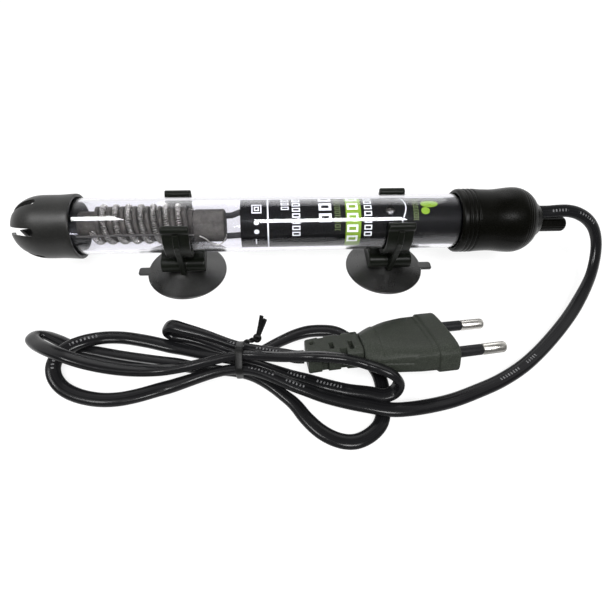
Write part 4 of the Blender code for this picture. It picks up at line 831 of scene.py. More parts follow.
def make_knob(material):
    """Fluted temperature knob: radius less depth times a raised cosine of 18 turns.

    The flutes fade towards both ends, where the radius drops along a quarter ellipse.
    """
    left, right = KNOB_LOW[0], KNOB_HIGH[0]
    radius, depth, count = 3.1 * MM, 0.16 * MM, 18
    crown = 1.9 * MM
    lead = np.linspace(0, 1, 6)
    tail = np.linspace(0, math.pi / 2, 16)
    x = np.concatenate([left + 0.5 * MM * lead, right - crown + crown * np.sin(tail)])
    r = np.concatenate([radius - 0.3 * MM * (1 - lead) ** 2,
                        radius - 1.5 * MM + 1.5 * MM * np.cos(tail) ** 0.8])
    fade = np.concatenate([0.6 + 0.4 * lead, np.cos(tail) ** 0.5])
    t = np.linspace(0, 2 * math.pi, count * 12, endpoint=False)
    flute = (0.5 - 0.5 * np.cos(count * t)) ** 0.7
    rr = r[:, None] - depth * fade[:, None] * flute
    rr = np.concatenate([np.full((1, len(t)), 1.6 * MM), rr, np.full((1, len(t)), 0.8 * MM)])
    x = np.concatenate([[left], x, [right + 0.02 * MM]])
    grid = round_axis(x[:, None], rr, t, KNOB_Y, KNOB_Z)
    shape = capped(grid, [left, KNOB_Y, KNOB_Z], [right + 0.02 * MM, KNOB_Y, KNOB_Z])
    return add_piece("knob_fluted", shape, material)


# ---------------------------------------------------------------- heating element
COIL_Y, COIL_Z = 0.4 * MM, AXIS_Z + 0.45 * MM
HEAD_Y, HEAD_Z = -0.3 * MM, AXIS_Z - 0.3 * MM
COIL_R, CURL_R, COIL_PITCH = 6.8 * MM, 1.05 * MM, 4.75 * MM
COIL_TURNS, CURLS_PER_TURN = 7.6, 60
COIL_WIRE_R = 0.14 * MM
COIL_PHASE = math.radians(164)
COIL_START = SHIFT_X - 74.625 * MM


def make_coil(material):
    """Resistance wire: a fine curl wound in a screw round the former.

    The curl's middle is (pitch t / 2 pi, R cos t, R sin t); the wire is at curl radius from
    it, at cos(n t) outwards and sin(n t) along the binormal, n curls to each turn.
    """
    per_curl = 10
    t = np.linspace(0, 2 * math.pi * COIL_TURNS,
                    int(COIL_TURNS * CURLS_PER_TURN * per_curl) + 1)
    around = t + COIL_PHASE
    out = np.stack([0 * t, np.cos(around), np.sin(around)], -1)
    middle = COIL_R * out + np.stack([COIL_START + COIL_PITCH * t / (2 * math.pi),
                                      0 * t + COIL_Y, 0 * t + COIL_Z], -1)
    run = unit(np.stack([0 * t + COIL_PITCH / (2 * math.pi), -COIL_R * np.sin(around),
                         COIL_R * np.cos(around)], -1))
    across = np.cross(run, out)
    # the pitch of the curls wanders a little, as a stretched spring's does
    wander = 0.9 * np.sin(3.1 * t) + 0.6 * np.sin(7.7 * t + 1.0)
    spin = CURLS_PER_TURN * t + wander
    lean = np.cos(spin)[:, None] * out + np.sin(spin)[:, None] * across
    path = middle + CURL_R * lean
    tangent = unit(np.gradient(path, axis=0))
    side = unit(np.cross(tangent, lean))
    normal = np.cross(side, tangent)
    ring = ellipse(COIL_WIRE_R, COIL_WIRE_R, 6)
    grid = path[:, None] + ring[:, :1] * side[:, None] + ring[:, 1:] * normal[:, None]
    return add_piece("heating_coil_curled", capped(grid, path[:1], path[-1:]), material)


def make_former(material):
    """Ceramic former: a rod whose screw-shaped ridge stands between the coil's turns.

    Its radius rises from the groove to the ridge with the distance, along the axis, to the
    line half a pitch from the coil, by a smooth step.
    """
    left, right = FORMER_LOW[0], FORMER_HIGH[0]
    x = np.linspace(left + 0.5 * MM, right, 300)
    t = np.linspace(0, 2 * math.pi, 96, endpoint=False)
    coil_at = COIL_START + COIL_PITCH * (t - COIL_PHASE) / (2 * math.pi)
    off = (x[:, None] - coil_at) / COIL_PITCH - 0.5
    off = np.abs(off - np.round(off)) * COIL_PITCH
    rise = np.clip((1.25 * MM - off) / (0.75 * MM), 0, 1)
    rise = rise * rise * (3 - 2 * rise)
    ridged = COIL_START - 0.7 * MM
    ends = np.clip((x - ridged) / (0.8 * MM), 0, 1) * np.clip((right - x) / (1.5 * MM), 0, 1)
    radius = 5.2 * MM + 1.75 * MM * rise * ends[:, None]
    radius += 0.05 * MM * np.sin(9 * t + 900 * x[:, None])
    x = np.concatenate([[left], x])
    radius = np.vstack([radius[:1] - 0.5 * MM, radius])
    grid = round_axis(x[:, None], radius, t, COIL_Y, COIL_Z)
    shape = capped(grid, [left, COIL_Y, COIL_Z], [right, COIL_Y, COIL_Z])
    return add_piece("ceramic_former_ridged", shape, material)


def make_head(material):
    """Ceramic head block: a rod with shallow flats and grooves along it and eased ends."""
    left, right = HEAD_LOW[0], HEAD_HIGH[0]
    ease = np.array([0.0, 0.25, 0.6, 1.0])
    x = np.concatenate([left + 0.7 * MM * ease, np.linspace(left + 1.4 * MM, right - 1.4 * MM, 8),
                        right - 0.7 * MM * ease[::-1]])
    drop = np.concatenate([0.7 * MM * (1 - ease) ** 2, np.zeros(8), 0.7 * MM * (1 - ease[::-1]) ** 2])
    t = np.linspace(0, 2 * math.pi, 160, endpoint=False)
    flats = 0.28 * MM * np.abs(np.sin(4 * t + 0.4)) ** 0.6
    grooves = 0.5 * MM * np.exp(-((np.mod(t, math.pi / 2) - 0.75) / 0.09) ** 2)
    radius = 6.7 * MM - flats - grooves - drop[:, None]
    grid = round_axis(x[:, None], radius, t, HEAD_Y, HEAD_Z)
    shape = capped(grid, [left, HEAD_Y, HEAD_Z], [right, HEAD_Y, HEAD_Z])
    return add_piece("ceramic_head_block", shape, material)


def ceramic_material(name, dark, pale):
    """Fired ceramic, grey-brown, mottled and pitted."""
    mat, tree, shader = new_material(name, pale, 0.8)
    where = place_of(tree)
    mottle = noise(tree, where, 420.0, 5.0, 0.6)
    pits = noise(tree, where, 2400.0, 3.0, 0.6)
    tree.links.new(blend_colour(tree, ramp(tree, mottle, 0.35, 0.68), dark, pale),
                   shader.inputs["Base Color"])
    tree.links.new(ramp(tree, pits, 0.3, 0.7, 0.7, 0.9), shader.inputs["Roughness"])
    bump(tree, shader, pits, 0.00006)
    return mat


def metal_material(name, rgb, rough, stretch=(1.0, 1.0, 1.0), tarnish=0.55):
    """Metal with drawn or brushed lines and darker, duller patches of tarnish."""
    mat, tree, shader = new_material(name, rgb, rough, 1.0)
    lines = noise(tree, place_of(tree, stretch), 3000.0, 3.0)
    patch = noise(tree, place_of(tree), 260.0, 4.0)
    dull = tuple(c * tarnish for c in rgb)
    tree.links.new(blend_colour(tree, ramp(tree, patch, 0.4, 0.75), rgb, dull),
                   shader.inputs["Base Color"])
    gloss = maths(tree, "ADD", ramp(tree, patch, 0.35, 0.75, rough, rough + 0.18),
                  ramp(tree, lines, 0.3, 0.7, -0.05, 0.05))
    tree.links.new(gloss, shader.inputs["Roughness"])
    bump(tree, shader, lines, 0.000008)
    return mat


# ---------------------------------------------------------------- printed sleeve
SLEEVE_R = (SLEEVE_HIGH[2] - SLEEVE_LOW[2]) / 2
SLEEVE_WALL = 0.4 * MM
SLEEVE_COLS = 144
FACING = math.radians(131.0)     # from +Y towards +Z: the side that the camera sees
WINDOW_R = 1.8 * MM
WINDOW_TURN = math.radians(112.0)


def rectangles(tree, u, v, marks):
    """1 where (u, v) lies in any of the (middle u, half u, middle v, half v) rectangles."""
    total = None
    for mid_u, half_u, mid_v, half_v in marks:
        one = maths(tree, "MULTIPLY", maths(tree, "COMPARE", u, mid_u, half_u),
                    maths(tree, "COMPARE", v, mid_v, half_v))
        total = one if total is None else maths(tree, "MAXIMUM", total, one)
    return total


def ovals(tree, u, v, marks):
    """1 where (u, v) lies in any of the (middle u, half u, middle v, half v) ellipses."""
    total = None
    for mid_u, half_u, mid_v, half_v in marks:
        a = maths(tree, "DIVIDE", maths(tree, "SUBTRACT", u, mid_u), half_u)
        b = maths(tree, "DIVIDE", maths(tree, "SUBTRACT", v, mid_v), half_v)
        far = maths(tree, "ADD", maths(tree, "MULTIPLY", a, a), maths(tree, "MULTIPLY", b, b))
        one = maths(tree, "LESS_THAN", far, 1.0)
        total = one if total is None else maths(tree, "MAXIMUM", total, one)
    return total


def blocks(tree, u, v, mid_u, half_u, pitch, share, line, low, high):
    """A row of plain hollow blocks across the sleeve, one each pitch of v from low to high.

    share is the block's part of the pitch and line the width of its outline.
    """
    step = maths(tree, "FRACT", maths(tree, "DIVIDE", maths(tree, "SUBTRACT", v, low), pitch))
    sheets = []
    for inset in (0.0, line):
        sheets.append(maths(tree, "MULTIPLY",
                            maths(tree, "COMPARE", step, 0.5, share / 2 - inset / pitch),
                            maths(tree, "COMPARE", u, mid_u, half_u - inset)))
    span = maths(tree, "COMPARE", v, (low + high) / 2, (high - low) / 2)
    return maths(tree, "MULTIPLY", maths(tree, "SUBTRACT", sheets[0], sheets[1]), span)


def sleeve_material():
    """Black glossy film printed with a plain white ring line, hollow blocks and a green band.

    The UV map holds metres along the tube from the origin and metres round it, downwards
    from the line that faces the camera.
    """
    mat, tree, shader = new_material("printed_film", (0.004, 0.004, 0.0045), 0.3)
    shader.inputs["Specular IOR Level"].default_value = 0.06
    uv = put(tree, "SeparateXYZ", Vector=put(tree, "UVMap", uv_map="surface").outputs[0])
    u, v = uv.outputs[0], uv.outputs[1]

    def at(x):
        return x * MM + SHIFT_X

    def square(half):
        return at(-11.9), half * MM, -4.2 * MM, half * MM

    # two nested squares, two dots and a short bar before the ring line
    ink = maths(tree, "SUBTRACT", rectangles(tree, u, v, [square(1.9)]),
                rectangles(tree, u, v, [square(1.5)]))
    ink = maths(tree, "MAXIMUM", ink, maths(tree, "SUBTRACT", rectangles(tree, u, v, [square(0.95)]),
                                            rectangles(tree, u, v, [square(0.5)])))
    ink = maths(tree, "MAXIMUM", ink, ovals(tree, u, v, [(at(-12.0), 1.0 * MM, 1.2 * MM, 0.85 * MM),
                                                         (at(-12.0), 1.0 * MM, 4.6 * MM, 0.85 * MM)]))
    ink = maths(tree, "MAXIMUM", ink, rectangles(tree, u, v, [(at(-7.6), 0.27 * MM, 0.0, 40 * MM),
                                                              (at(-12.3), 0.25 * MM, 8.9 * MM, 1.3 * MM)]))
    for row in ((-1.0, 1.5, 2.1, 0.66, 0.36, -11.6, -3.2), (3.3, 1.55, 2.3, 0.7, 0.42, -11.6, 6.8),
                (14.6, 2.45, 4.5, 0.72, 0.95, -11.5, 2.0), (31.4, 1.5, 2.6, 0.7, 0.42, -10.8, 7.4)):
        mid, half, pitch, share, line, low, high = row
        ink = maths(tree, "MAXIMUM", ink, blocks(tree, u, v, at(mid), half * MM, pitch * MM, share,
                                                 line * MM, low * MM, high * MM))
    # a thin line that sways as it goes round
    swing = maths(tree, "COSINE", maths(tree, "MULTIPLY", maths(tree, "ADD", v, 4.3 * MM), 449.0))
    sway = maths(tree, "MULTIPLY", swing, 0.85 * MM)
    curve = maths(tree, "COMPARE", maths(tree, "SUBTRACT", u, sway), at(45.7), 0.2 * MM)
    ink = maths(tree, "MAXIMUM", ink, curve)
    # the green band with its pale blocks, and two plain green ovals near the seal cap
    band = maths(tree, "COMPARE", u, at(25.6), 3.0 * MM)
    ink = maths(tree, "MAXIMUM", ink, blocks(tree, u, v, at(25.3), 2.15 * MM, 4.3 * MM, 0.66,
                                             0.75 * MM, -11.2 * MM, 10.3 * MM))
    spots = ovals(tree, u, v, [(at(56.0), 3.5 * MM, -5.5 * MM, 1.6 * MM),
                               (at(54.2), 1.7 * MM, -2.5 * MM, 1.45 * MM)])
    green = maths(tree, "MAXIMUM", band, spots)
    faint = blocks(tree, u, v, at(19.4), 1.1 * MM, 1.7 * MM, 0.7, 0.3 * MM, -11.6 * MM, 4.6 * MM)
    small = blocks(tree, u, v, at(50.4), 1.0 * MM, 1.3 * MM, 0.7, 0.25 * MM, -8.5 * MM, 1.2 * MM)
    faint = maths(tree, "MAXIMUM", faint, small)
    where = place_of(tree)
    scuff = noise(tree, where, 900.0, 4.0)
    cloud = noise(tree, where, 70.0, 3.0)
    film = blend_colour(tree, ramp(tree, scuff, 0.5, 0.8), (0.002, 0.002, 0.0024),
                        (0.0042, 0.0042, 0.005))
    film = blend_colour(tree, green, film, (0.15, 0.25, 0.022))
    film = blend_colour(tree, maths(tree, "MULTIPLY", faint, 0.5), film, (0.2, 0.26, 0.1))
    film = blend_colour(tree, ink, film, (0.72, 0.73, 0.74))
    tree.links.new(film, shader.inputs["Base Color"])
    tree.links.new(ramp(tree, cloud, 0.3, 0.7, 0.25, 0.4), shader.inputs["Roughness"])
    height = maths(tree, "ADD", maths(tree, "MULTIPLY", ink, 0.5), maths(tree, "MULTIPLY", scuff, 0.25))
    bump(tree, shader, height, 0.000004)
    return mat


def make_sleeve(window_x):
    """Printed sleeve: a thin ring shell along the tube with the lamp's round window."""
    left, right = SLEEVE_LOW[0], SLEEVE_HIGH[0]
    inner = SLEEVE_R - SLEEVE_WALL
    x = np.linspace(left, right, 60)
    profile = np.concatenate([np.stack([x, 0 * x + SLEEVE_R], -1),
                              np.stack([x[::-1], 0 * x + inner], -1)])
    points, quads, tris = turned(profile, SLEEVE_COLS)
    rows = len(profile)
    i, j = quads[:, 0] // SLEEVE_COLS, quads[:, 0] % SLEEVE_COLS
    turn = (np.stack([j, j + 1, j + 1, j], -1)) * 2 * math.pi / SLEEVE_COLS
    turn = turn - FACING
    turn -= 2 * math.pi * (turn.mean(1, keepdims=True) > math.pi)
    ring = np.stack([i, i, (i + 1) % rows, (i + 1) % rows], -1)
    uv = np.stack([profile[ring, 0], turn * SLEEVE_R], -1)
    material = sleeve_material()
    sleeve = add_piece("printed_sleeve", (points, quads, tris), material, uv=uv)
    t = np.linspace(0, 2 * math.pi, 40, endpoint=False)
    c, s = math.cos(WINDOW_TURN), math.sin(WINDOW_TURN)
    hole = []
    for radial in (inner - 4 * MM, SLEEVE_R + 4 * MM):
        a, b = WINDOW_R * np.cos(t), WINDOW_R * np.sin(t)
        hole.append(np.stack([window_x + a, radial * c - b * s, AXIS_Z + radial * s + b * c], -1))
    points = np.vstack(hole + [hole[0].mean(0), hole[1].mean(0)])
    tris = np.concatenate([fan(np.arange(40)[::-1], 80), fan(np.arange(40, 80), 81)])
    cut(sleeve, add_piece("window", (points, grid_quads(2, 40, True), tris), material), 40)
    return sleeve


# ---------------------------------------------------------------- clips and cups
CLIP_HALF_W, CLIP_WALL = 5.1 * MM, 1.6 * MM
FOOT_LOW, FOOT_TOP = 5.3 * MM, 11.8 * MM
MOUTH = math.radians(59.0)
LIP_R = 1.6 * MM


def clip_field(p):
    """Field of a clip about its own middle: ring, lips, ribs, gussets, neck and foot.

    The ring is a wall between two circles, cut by the mouth's two planes; the rest are bars
    and boxes merged to it with small fillets, and the stud's socket is taken out.
    """
    x, y, z = p[..., 0], np.abs(p[..., 1]), p[..., 2]
    up = z - AXIS_Z
    bore = TUBE_R + SEAT
    r = np.hypot(y, up)
    mouth = up * math.sin(MOUTH) - y * math.cos(MOUTH)
    middle = bore + CLIP_WALL / 2
    wall = np.abs(r - middle) - CLIP_WALL / 2
    ring = within(within(wall, np.abs(x) - CLIP_HALF_W, 0.5 * MM), mouth, 0.3 * MM)
    reach = bore + LIP_R + 0.05 * MM
    lip = np.hypot(y - reach * math.sin(MOUTH), up - reach * math.cos(MOUTH)) - LIP_R
    lip = within(lip, np.abs(x) - CLIP_HALF_W - 0.15 * MM, 0.6 * MM)
    solid = merge(ring, lip, 0.8 * MM)
    # rib round the ring, up to 112 degrees from straight down, and the gusset under it
    rib_wall = within(r - (bore + CLIP_WALL + 0.8 * MM), (bore + 0.5 * MM) - r, 0.1 * MM)
    limit = up * math.sin(math.radians(68)) - y * math.cos(math.radians(68))
    rib = np.maximum(rib_wall, limit)
    # the rib runs on down over the round front of the foot
    run, rise = 3.7, 13.0
    lean = ((y - 8.3 * MM) * rise - (z - FOOT_LOW - 0.5 * MM) * run) / math.hypot(run, rise)
    gusset = np.maximum(np.maximum(lean, (bore + 0.5 * MM) - r), FOOT_LOW + 0.5 * MM - z)
    gusset = np.maximum(gusset, z - AXIS_Z)
    rib = within(np.minimum(rib, gusset), np.abs(x) - 1.1 * MM, 0.35 * MM)
    neck_top = AXIS_Z - bore - 0.5 * MM
    neck = block(x, y, z - (FOOT_TOP + neck_top) / 2 + 0.5 * MM,
                 (4 * MM, 4.4 * MM, (neck_top - FOOT_TOP) / 2 + 0.5 * MM), 0.4 * MM)
    solid = merge(solid, neck, 0.8 * MM)
    foot = bar(y, z - (FOOT_LOW + FOOT_TOP) / 2, 7.5 * MM, (FOOT_TOP - FOOT_LOW) / 2, 3.1 * MM)
    foot = within(foot, np.abs(x) - 9.2 * MM, 0.7 * MM)
    solid = merge(merge(solid, foot, 0.5 * MM), rib, 0.3 * MM)
    neck_hole = np.maximum(np.hypot(x, y) - 2.9 * MM, z - FOOT_LOW - 2.4 * MM)
    head_hole = np.maximum(np.hypot(x, y) - 4.2 * MM, np.abs(z - FOOT_LOW - 3.6 * MM) - 1.5 * MM)
    return within(solid, -np.minimum(neck_hole, head_hole), 0.2 * MM)


def make_clips(material):
    """Both clips: one skin worked out about the middle, then set at each clip's place."""
    reach = TUBE_R + SEAT + 2 * LIP_R + 0.6 * MM
    low = (-9.6 * MM, -reach - 1.4 * MM, FOOT_LOW - 0.4 * MM)
    high = (9.6 * MM, reach + 1.4 * MM, AXIS_Z + 9.6 * MM)
    points, quads, tris = moulded(clip_field, low, high, 0.24 * MM)
    clips = []
    for name, side, turn, lean, off in (("left", -1, 0.05, 0.03, -0.5), ("right", 1, 0.0, 0.0, 0.4)):
        # neither clip stands quite square on its flexible cup
        at = np.zeros_like(points)
        at[:, 0] = SHIFT_X + side * CLIP_APART - turn * points[:, 1] + lean * points[:, 2] + off * MM
        clips.append(add_piece("clip_moulded_" + name, (points + at, quads, tris), material))
    return clips


CUP_R = 17.0 * MM


def cup_shape(side):
    """Suction cup about its own axis: turned skirt, hub and stud, and a pull tab.

    The skirt's profile is (z, radius), turned as (r cos t, r sin t, z).
    """
    hub = FOOT_LOW - 0.3 * MM
    step, roof = FOOT_LOW + 2.4 * MM, FOOT_LOW + 4.8 * MM
    line = [(3.0 * MM, 0.2 * MM), (2.5 * MM, 4.5 * MM), (1.7 * MM, CUP_R / 2), (0.7 * MM, CUP_R - 5 * MM),
            (0.0, CUP_R - 3.2 * MM), (0.0, CUP_R - 0.25 * MM), (0.45 * MM, CUP_R),
            (0.85 * MM, CUP_R - 0.3 * MM), (1.05 * MM, CUP_R - 1.3 * MM), (2.1 * MM, CUP_R - 4.4 * MM),
            (hub - 1.5 * MM, CUP_R / 2), (hub - 0.6 * MM, 6.4 * MM), (hub, 5.3 * MM), (hub, 2.6 * MM),
            (step, 2.6 * MM), (step, 3.9 * MM), (roof - 0.9 * MM, 3.9 * MM), (roof, 2.9 * MM),
            (roof, 0.2 * MM)]
    line = np.vstack([[3.0 * MM, 0.0], rounded(line, 0.8 * MM), [roof, 0.0]])
    points, quads, tris = turned(line, 128, 0.0, 0.0)
    skirt = (points[:, [1, 2, 0]], quads, tris)
    # the tab: a flat bar with round corners that starts inside the skirt's rim
    t = np.linspace(0, 1, 22)
    tab = (5.9 if side < 0 else 6.6) * MM
    path = np.stack([side * (CUP_R - 2.0 * MM + tab * t), np.full(22, -0.35 * MM),
                     np.full(22, 0.6 * MM)], -1)
    narrow = 1 - 0.35 * np.clip((t - 0.86) / 0.14, 0, 1) ** 2
    oval = ellipse(1.0, 1.0, 28, 5.0)
    section = np.stack([2.25 * MM * narrow[:, None] * oval[None, :, 0],
                        0.45 * MM * narrow[:, None] ** 0.5 * oval[None, :, 1]], -1)
    return joined([outward(skirt), outward(swept(path, section))])


def make_cups(material):
    """Both suction cups, each with its tab pointing away from the middle."""
    cups = []
    for name, side in (("left", -1), ("right", 1)):
        points, quads, tris = cup_shape(side)
        at = np.array([SHIFT_X + side * CLIP_APART, 0.0, 0.0])
        cups.append(add_piece("cup_rubber_" + name, (points + at, quads, tris), material))
    return cups


# ---------------------------------------------------------------- plug
PLUG_FRONT = np.array([50.2, -50.85, 12.65]) * MM
PLUG_YAW, PLUG_PITCH, PLUG_ROLL = (math.radians(v) for v in (4.2, 1.5, -24.0))
COLLAR = (15.1 * MM, 5.9 * MM, 7.2 * MM)      # half width, half thickness, length
BODY_LENGTH = 31.2 * MM
# body behind the collar: along, half width, half thickness, share of the rear section
BODY_ROWS = np.array([(7.7, 14.2, 5.4, 0.0), (13.0, 14.0, 5.4, 0.0), (17.0, 13.35, 5.4, 0.1),
                      (21.0, 12.65, 5.5, 0.3), (25.0, 11.8, 5.35, 0.6), (27.5, 10.9, 5.15, 0.85),
                      (29.5, 9.5, 4.9, 1.0), (31.2, 8.0, 4.6, 1.0)]) * (MM, MM, MM, 1.0)
# corners of the sections from the edge to the middle, in half widths and half thicknesses
UPPER_FRONT = np.array([(1.0, 0.42), (0.94, 0.68), (0.82, 0.86), (0.62, 0.97), (0.4, 1.0)])
UPPER_REAR = np.array([(1.0, 0.18), (0.9, 0.4), (0.72, 0.66), (0.48, 0.88), (0.28, 1.0)])
LOWER = np.array([(1.0, 0.35), (0.93, 0.7), (0.55, 1.0)])
RELIEF_EDGE = np.array([(1.0, 0.6), (0.93, 0.79), (0.75, 1.0)])
RELIEF = (7.5 * MM, 4.2 * MM)
RELIEF_START, RELIEF_END = -31.6 * MM, -50.5 * MM
PIN_R, PIN_LEN, PIN_SLEEVE_LEN = 2.0 * MM, 19.0 * MM, 10.0 * MM
PIN_BASE, PIN_TIP = 9.3 * MM, 8.75 * MM       # of each pin's axis from the plug's middle


def plug_axes():
    """Unit axes of the plug: along its pins, across them, and out of its upper face."""
    c, s = math.cos, math.sin
    along = np.array([c(PLUG_YAW) * c(PLUG_PITCH), s(PLUG_YAW) * c(PLUG_PITCH), s(PLUG_PITCH)])
    level = np.array([-s(PLUG_YAW), c(PLUG_YAW), 0.0])
    rise = np.cross(along, level)
    across = level * c(PLUG_ROLL) + rise * s(PLUG_ROLL)
    return along, across, rise * c(PLUG_ROLL) - level * s(PLUG_ROLL)


def from_plug(points):
    """World points of (along, across, up) points; the relief droops behind the body.

    The droop is 5 per metre times the square of the distance behind the body's end.
    """
    along, across, up = plug_axes()
    p = np.asarray(points, float)
    out = PLUG_FRONT + p[..., :1] * along + p[..., 1:2] * across + p[..., 2:] * up
    out[..., 2] -= 5.0 * np.maximum(0, RELIEF_START - 3.4 * MM - p[..., 0]) ** 2
    return out


def section_side(s, n, wide, thick, edges, soft):
    """Field of a section's upper side: straight lines between its corners, eased together."""
    out = within(s - wide, n - thick, soft)
    for k in range(len(edges) - 1):
        s0, n0 = edges[k][0] * wide, edges[k][1] * thick
        s1, n1 = edges[k + 1][0] * wide, edges[k + 1][1] * thick
        ds, dn = s0 - s1, n1 - n0
        out = within(out, ((s - s0) * dn + (n - n0) * ds) / np.hypot(ds, dn), soft)
    return out


def plug_outline(s, n, wide, thick, upper, lower, soft=0.7 * MM):
    """Field of a plug section, the same on both sides of its middle."""
    s = np.abs(s)
    return within(section_side(s, n, wide, thick, upper, soft),
                  section_side(s, -n, wide, thick, lower, soft), soft)


def body_sizes(a):
    """Half width, half thickness and rear share of the body at a, from its eased rows."""
    at = np.arange(-10, 50, 0.1) * MM
    out = []
    for k in (1, 2, 3):
        row = np.interp(at, BODY_ROWS[:, 0], BODY_ROWS[:, k])
        soft = np.convolve(np.pad(row, 12, mode="edge"), np.ones(25) / 25, "valid")
        out.append(np.interp(-a, at, soft))
    return out


def body_field(p):
    """Field of the plug's body with its front collar and a panel sunk in its upper face."""
    a, s, n = p[..., 0], p[..., 1], p[..., 2]
    wide, thick, rear = body_sizes(a)
    upper = [(w0 + (w1 - w0) * rear, t0 + (t1 - t0) * rear)
             for (w0, t0), (w1, t1) in zip(UPPER_FRONT, UPPER_REAR)]
    body = plug_outline(s, n, wide, thick, upper, LOWER, 0.5 * MM)
    body = within(body, np.maximum(a + 1.0 * MM, -BODY_LENGTH - a), 0.9 * MM)
    panel = bar(a + 17.0 * MM, s + 1.0 * MM, 8.4 * MM, 12.5 * MM, 0.6 * MM)
    sunk = np.clip(-panel / (0.35 * MM), 0, 1) * (n > 0)
    body = body + 0.3 * MM * sunk
    collar = plug_outline(s, n, COLLAR[0], COLLAR[1], UPPER_FRONT, LOWER, 0.6 * MM)
    collar = within(collar, np.maximum(a, -COLLAR[2] - a), 0.7 * MM)
    return merge(body, collar, 0.25 * MM)


RELIEF_NOTCHES = (-44.7 * MM, -38.2 * MM)
# pockets in the upper face: along, across, half along, half across
RELIEF_POCKETS = ((-48.3 * MM, 2.2 * MM, 0.75 * MM, 1.2 * MM),
                  (-41.8 * MM, -1.8 * MM, 0.75 * MM, 2.2 * MM),
                  (-35.2 * MM, -3.0 * MM, 0.75 * MM, 2.6 * MM),
                  (-33.2 * MM, 4.4 * MM, 0.65 * MM, 0.7 * MM))


def relief_field(p):
    """Field of the strain relief: a tapering bar, notches in both edges, pockets on top."""
    a, s, n = p[..., 0], p[..., 1], p[..., 2]
    share = np.clip((RELIEF_START - a) / (RELIEF_START - RELIEF_END), 0, 1)
    solid = plug_outline(s, n, RELIEF[0] - 0.5 * MM * share, RELIEF[1] - 0.3 * MM * share,
                         RELIEF_EDGE, RELIEF_EDGE, 0.6 * MM)
    solid = within(solid, np.maximum(a - RELIEF_START - 0.3 * MM, RELIEF_END - a), 0.8 * MM)
    holes = np.full(a.shape, 1.0)
    for at in RELIEF_NOTCHES:
        notch = bar(a - at, np.abs(s) - 7.5 * MM, 1.15 * MM, 2.9 * MM, 0.4 * MM)
        holes = np.minimum(holes, notch)
    for at, across, half_a, half_s in RELIEF_POCKETS:
        for face in (-1, 1):
            pocket = bar(a - at, s - across * face, half_a, half_s, 0.3 * MM)
            holes = np.minimum(holes, np.maximum(pocket, 2.0 * MM - face * n))
    return within(solid, -holes, 0.25 * MM)


def plug_round(profile, side):
    """A profile of (along, radius) turned about one pin's slightly converging axis."""
    points, quads, tris = turned(profile, 40, 0.0, 0.0)
    share = np.clip(points[:, :1] / PIN_LEN, 0, 1)
    middle = side * (PIN_BASE + (PIN_TIP - PIN_BASE) * share)
    local = np.concatenate([points[:, :1], points[:, 1:2] + middle, points[:, 2:]], 1)
    return outward((from_plug(local), quads, tris))


def make_plug(plastic, rubber, metal):
    """Plug body, strain relief, and both pins with their insulating sleeves."""
    pieces = {}
    low = (-BODY_LENGTH - 0.8 * MM, -COLLAR[0] - 0.8 * MM, -COLLAR[1] - 0.8 * MM)
    high = (0.8 * MM, COLLAR[0] + 0.8 * MM, COLLAR[1] + 0.8 * MM)
    p, q, t = moulded(body_field, low, high, 0.33 * MM)
    pieces["plug_body"] = add_piece("plug_body_moulded", (from_plug(p), q, t), plastic)
    low = (RELIEF_END - 0.6 * MM, -RELIEF[0] - 0.6 * MM, -RELIEF[1] - 0.6 * MM)
    high = (RELIEF_START + 0.9 * MM, RELIEF[0] + 0.6 * MM, RELIEF[1] + 0.6 * MM)
    p, q, t = moulded(relief_field, low, high, 0.22 * MM)
    pieces["strain_relief"] = add_piece("strain_relief_moulded", (from_plug(p), q, t), plastic)
    root, joint = -5.6 * MM, PIN_SLEEVE_LEN
    for k, side in enumerate((-1, 1)):
        sleeve = [(root, 0.0), (root, PIN_R), (joint - 0.25 * MM, PIN_R - 0.05 * MM),
                  (joint, PIN_R - 0.3 * MM), (joint, 0.0)]
        name = "pin_sleeve_%d" % (k + 1)
        pieces[name] = add_piece(name + "_insulating", plug_round(rounded(sleeve, 0.25 * MM), side),
                                 rubber)
        tip = dome(PIN_LEN, PIN_LEN - 1.5 * MM, PIN_R, 10, 2.3)[::-1]
        pin = np.vstack([[(joint - 3 * MM, 0.0), (joint - 3 * MM, PIN_R - 0.5 * MM),
                          (joint + 0.05 * MM, PIN_R - 0.5 * MM), (joint + 0.12 * MM, PIN_R - 0.15 * MM),
                          (joint + 0.3 * MM, PIN_R)], tip[:-1], [(PIN_LEN, 0.0)]])
        name = "plug_pin_%d" % (k + 1)
        pieces[name] = add_piece(name + "_plated", plug_round(pin, side), metal)
    return pieces


# ---------------------------------------------------------------- tie
TIE_PASSES = np.array([(-49.1, 8.2), (-52.9, 10.8), (-56.6, 8.1), (-55.3, 3.8), (-50.5, 3.8)]) * MM
TIE_KNOT = np.array([-17.7, -45.3, 9.4]) * MM


def tie_line(offset):
    """Closed line round the cord's passes at an offset: an arc at each pass."""
    ahead = np.roll(TIE_PASSES, -1, 0) - TIE_PASSES
    normal = np.arctan2(-ahead[:, 0], ahead[:, 1])
    before = np.roll(normal, 1)
    after = normal + 2 * math.pi * np.round((before - normal) / (2 * math.pi))
    t = np.linspace(0, 1, 9)
    turn = before[:, None] + (after - before)[:, None] * t
    y = TIE_PASSES[:, :1] + offset * np.cos(turn)
    z = TIE_PASSES[:, 1:] + offset * np.sin(turn)
    line = np.stack([np.full(y.size, TIE_X), y.ravel(), z.ravel()], -1)
    return line


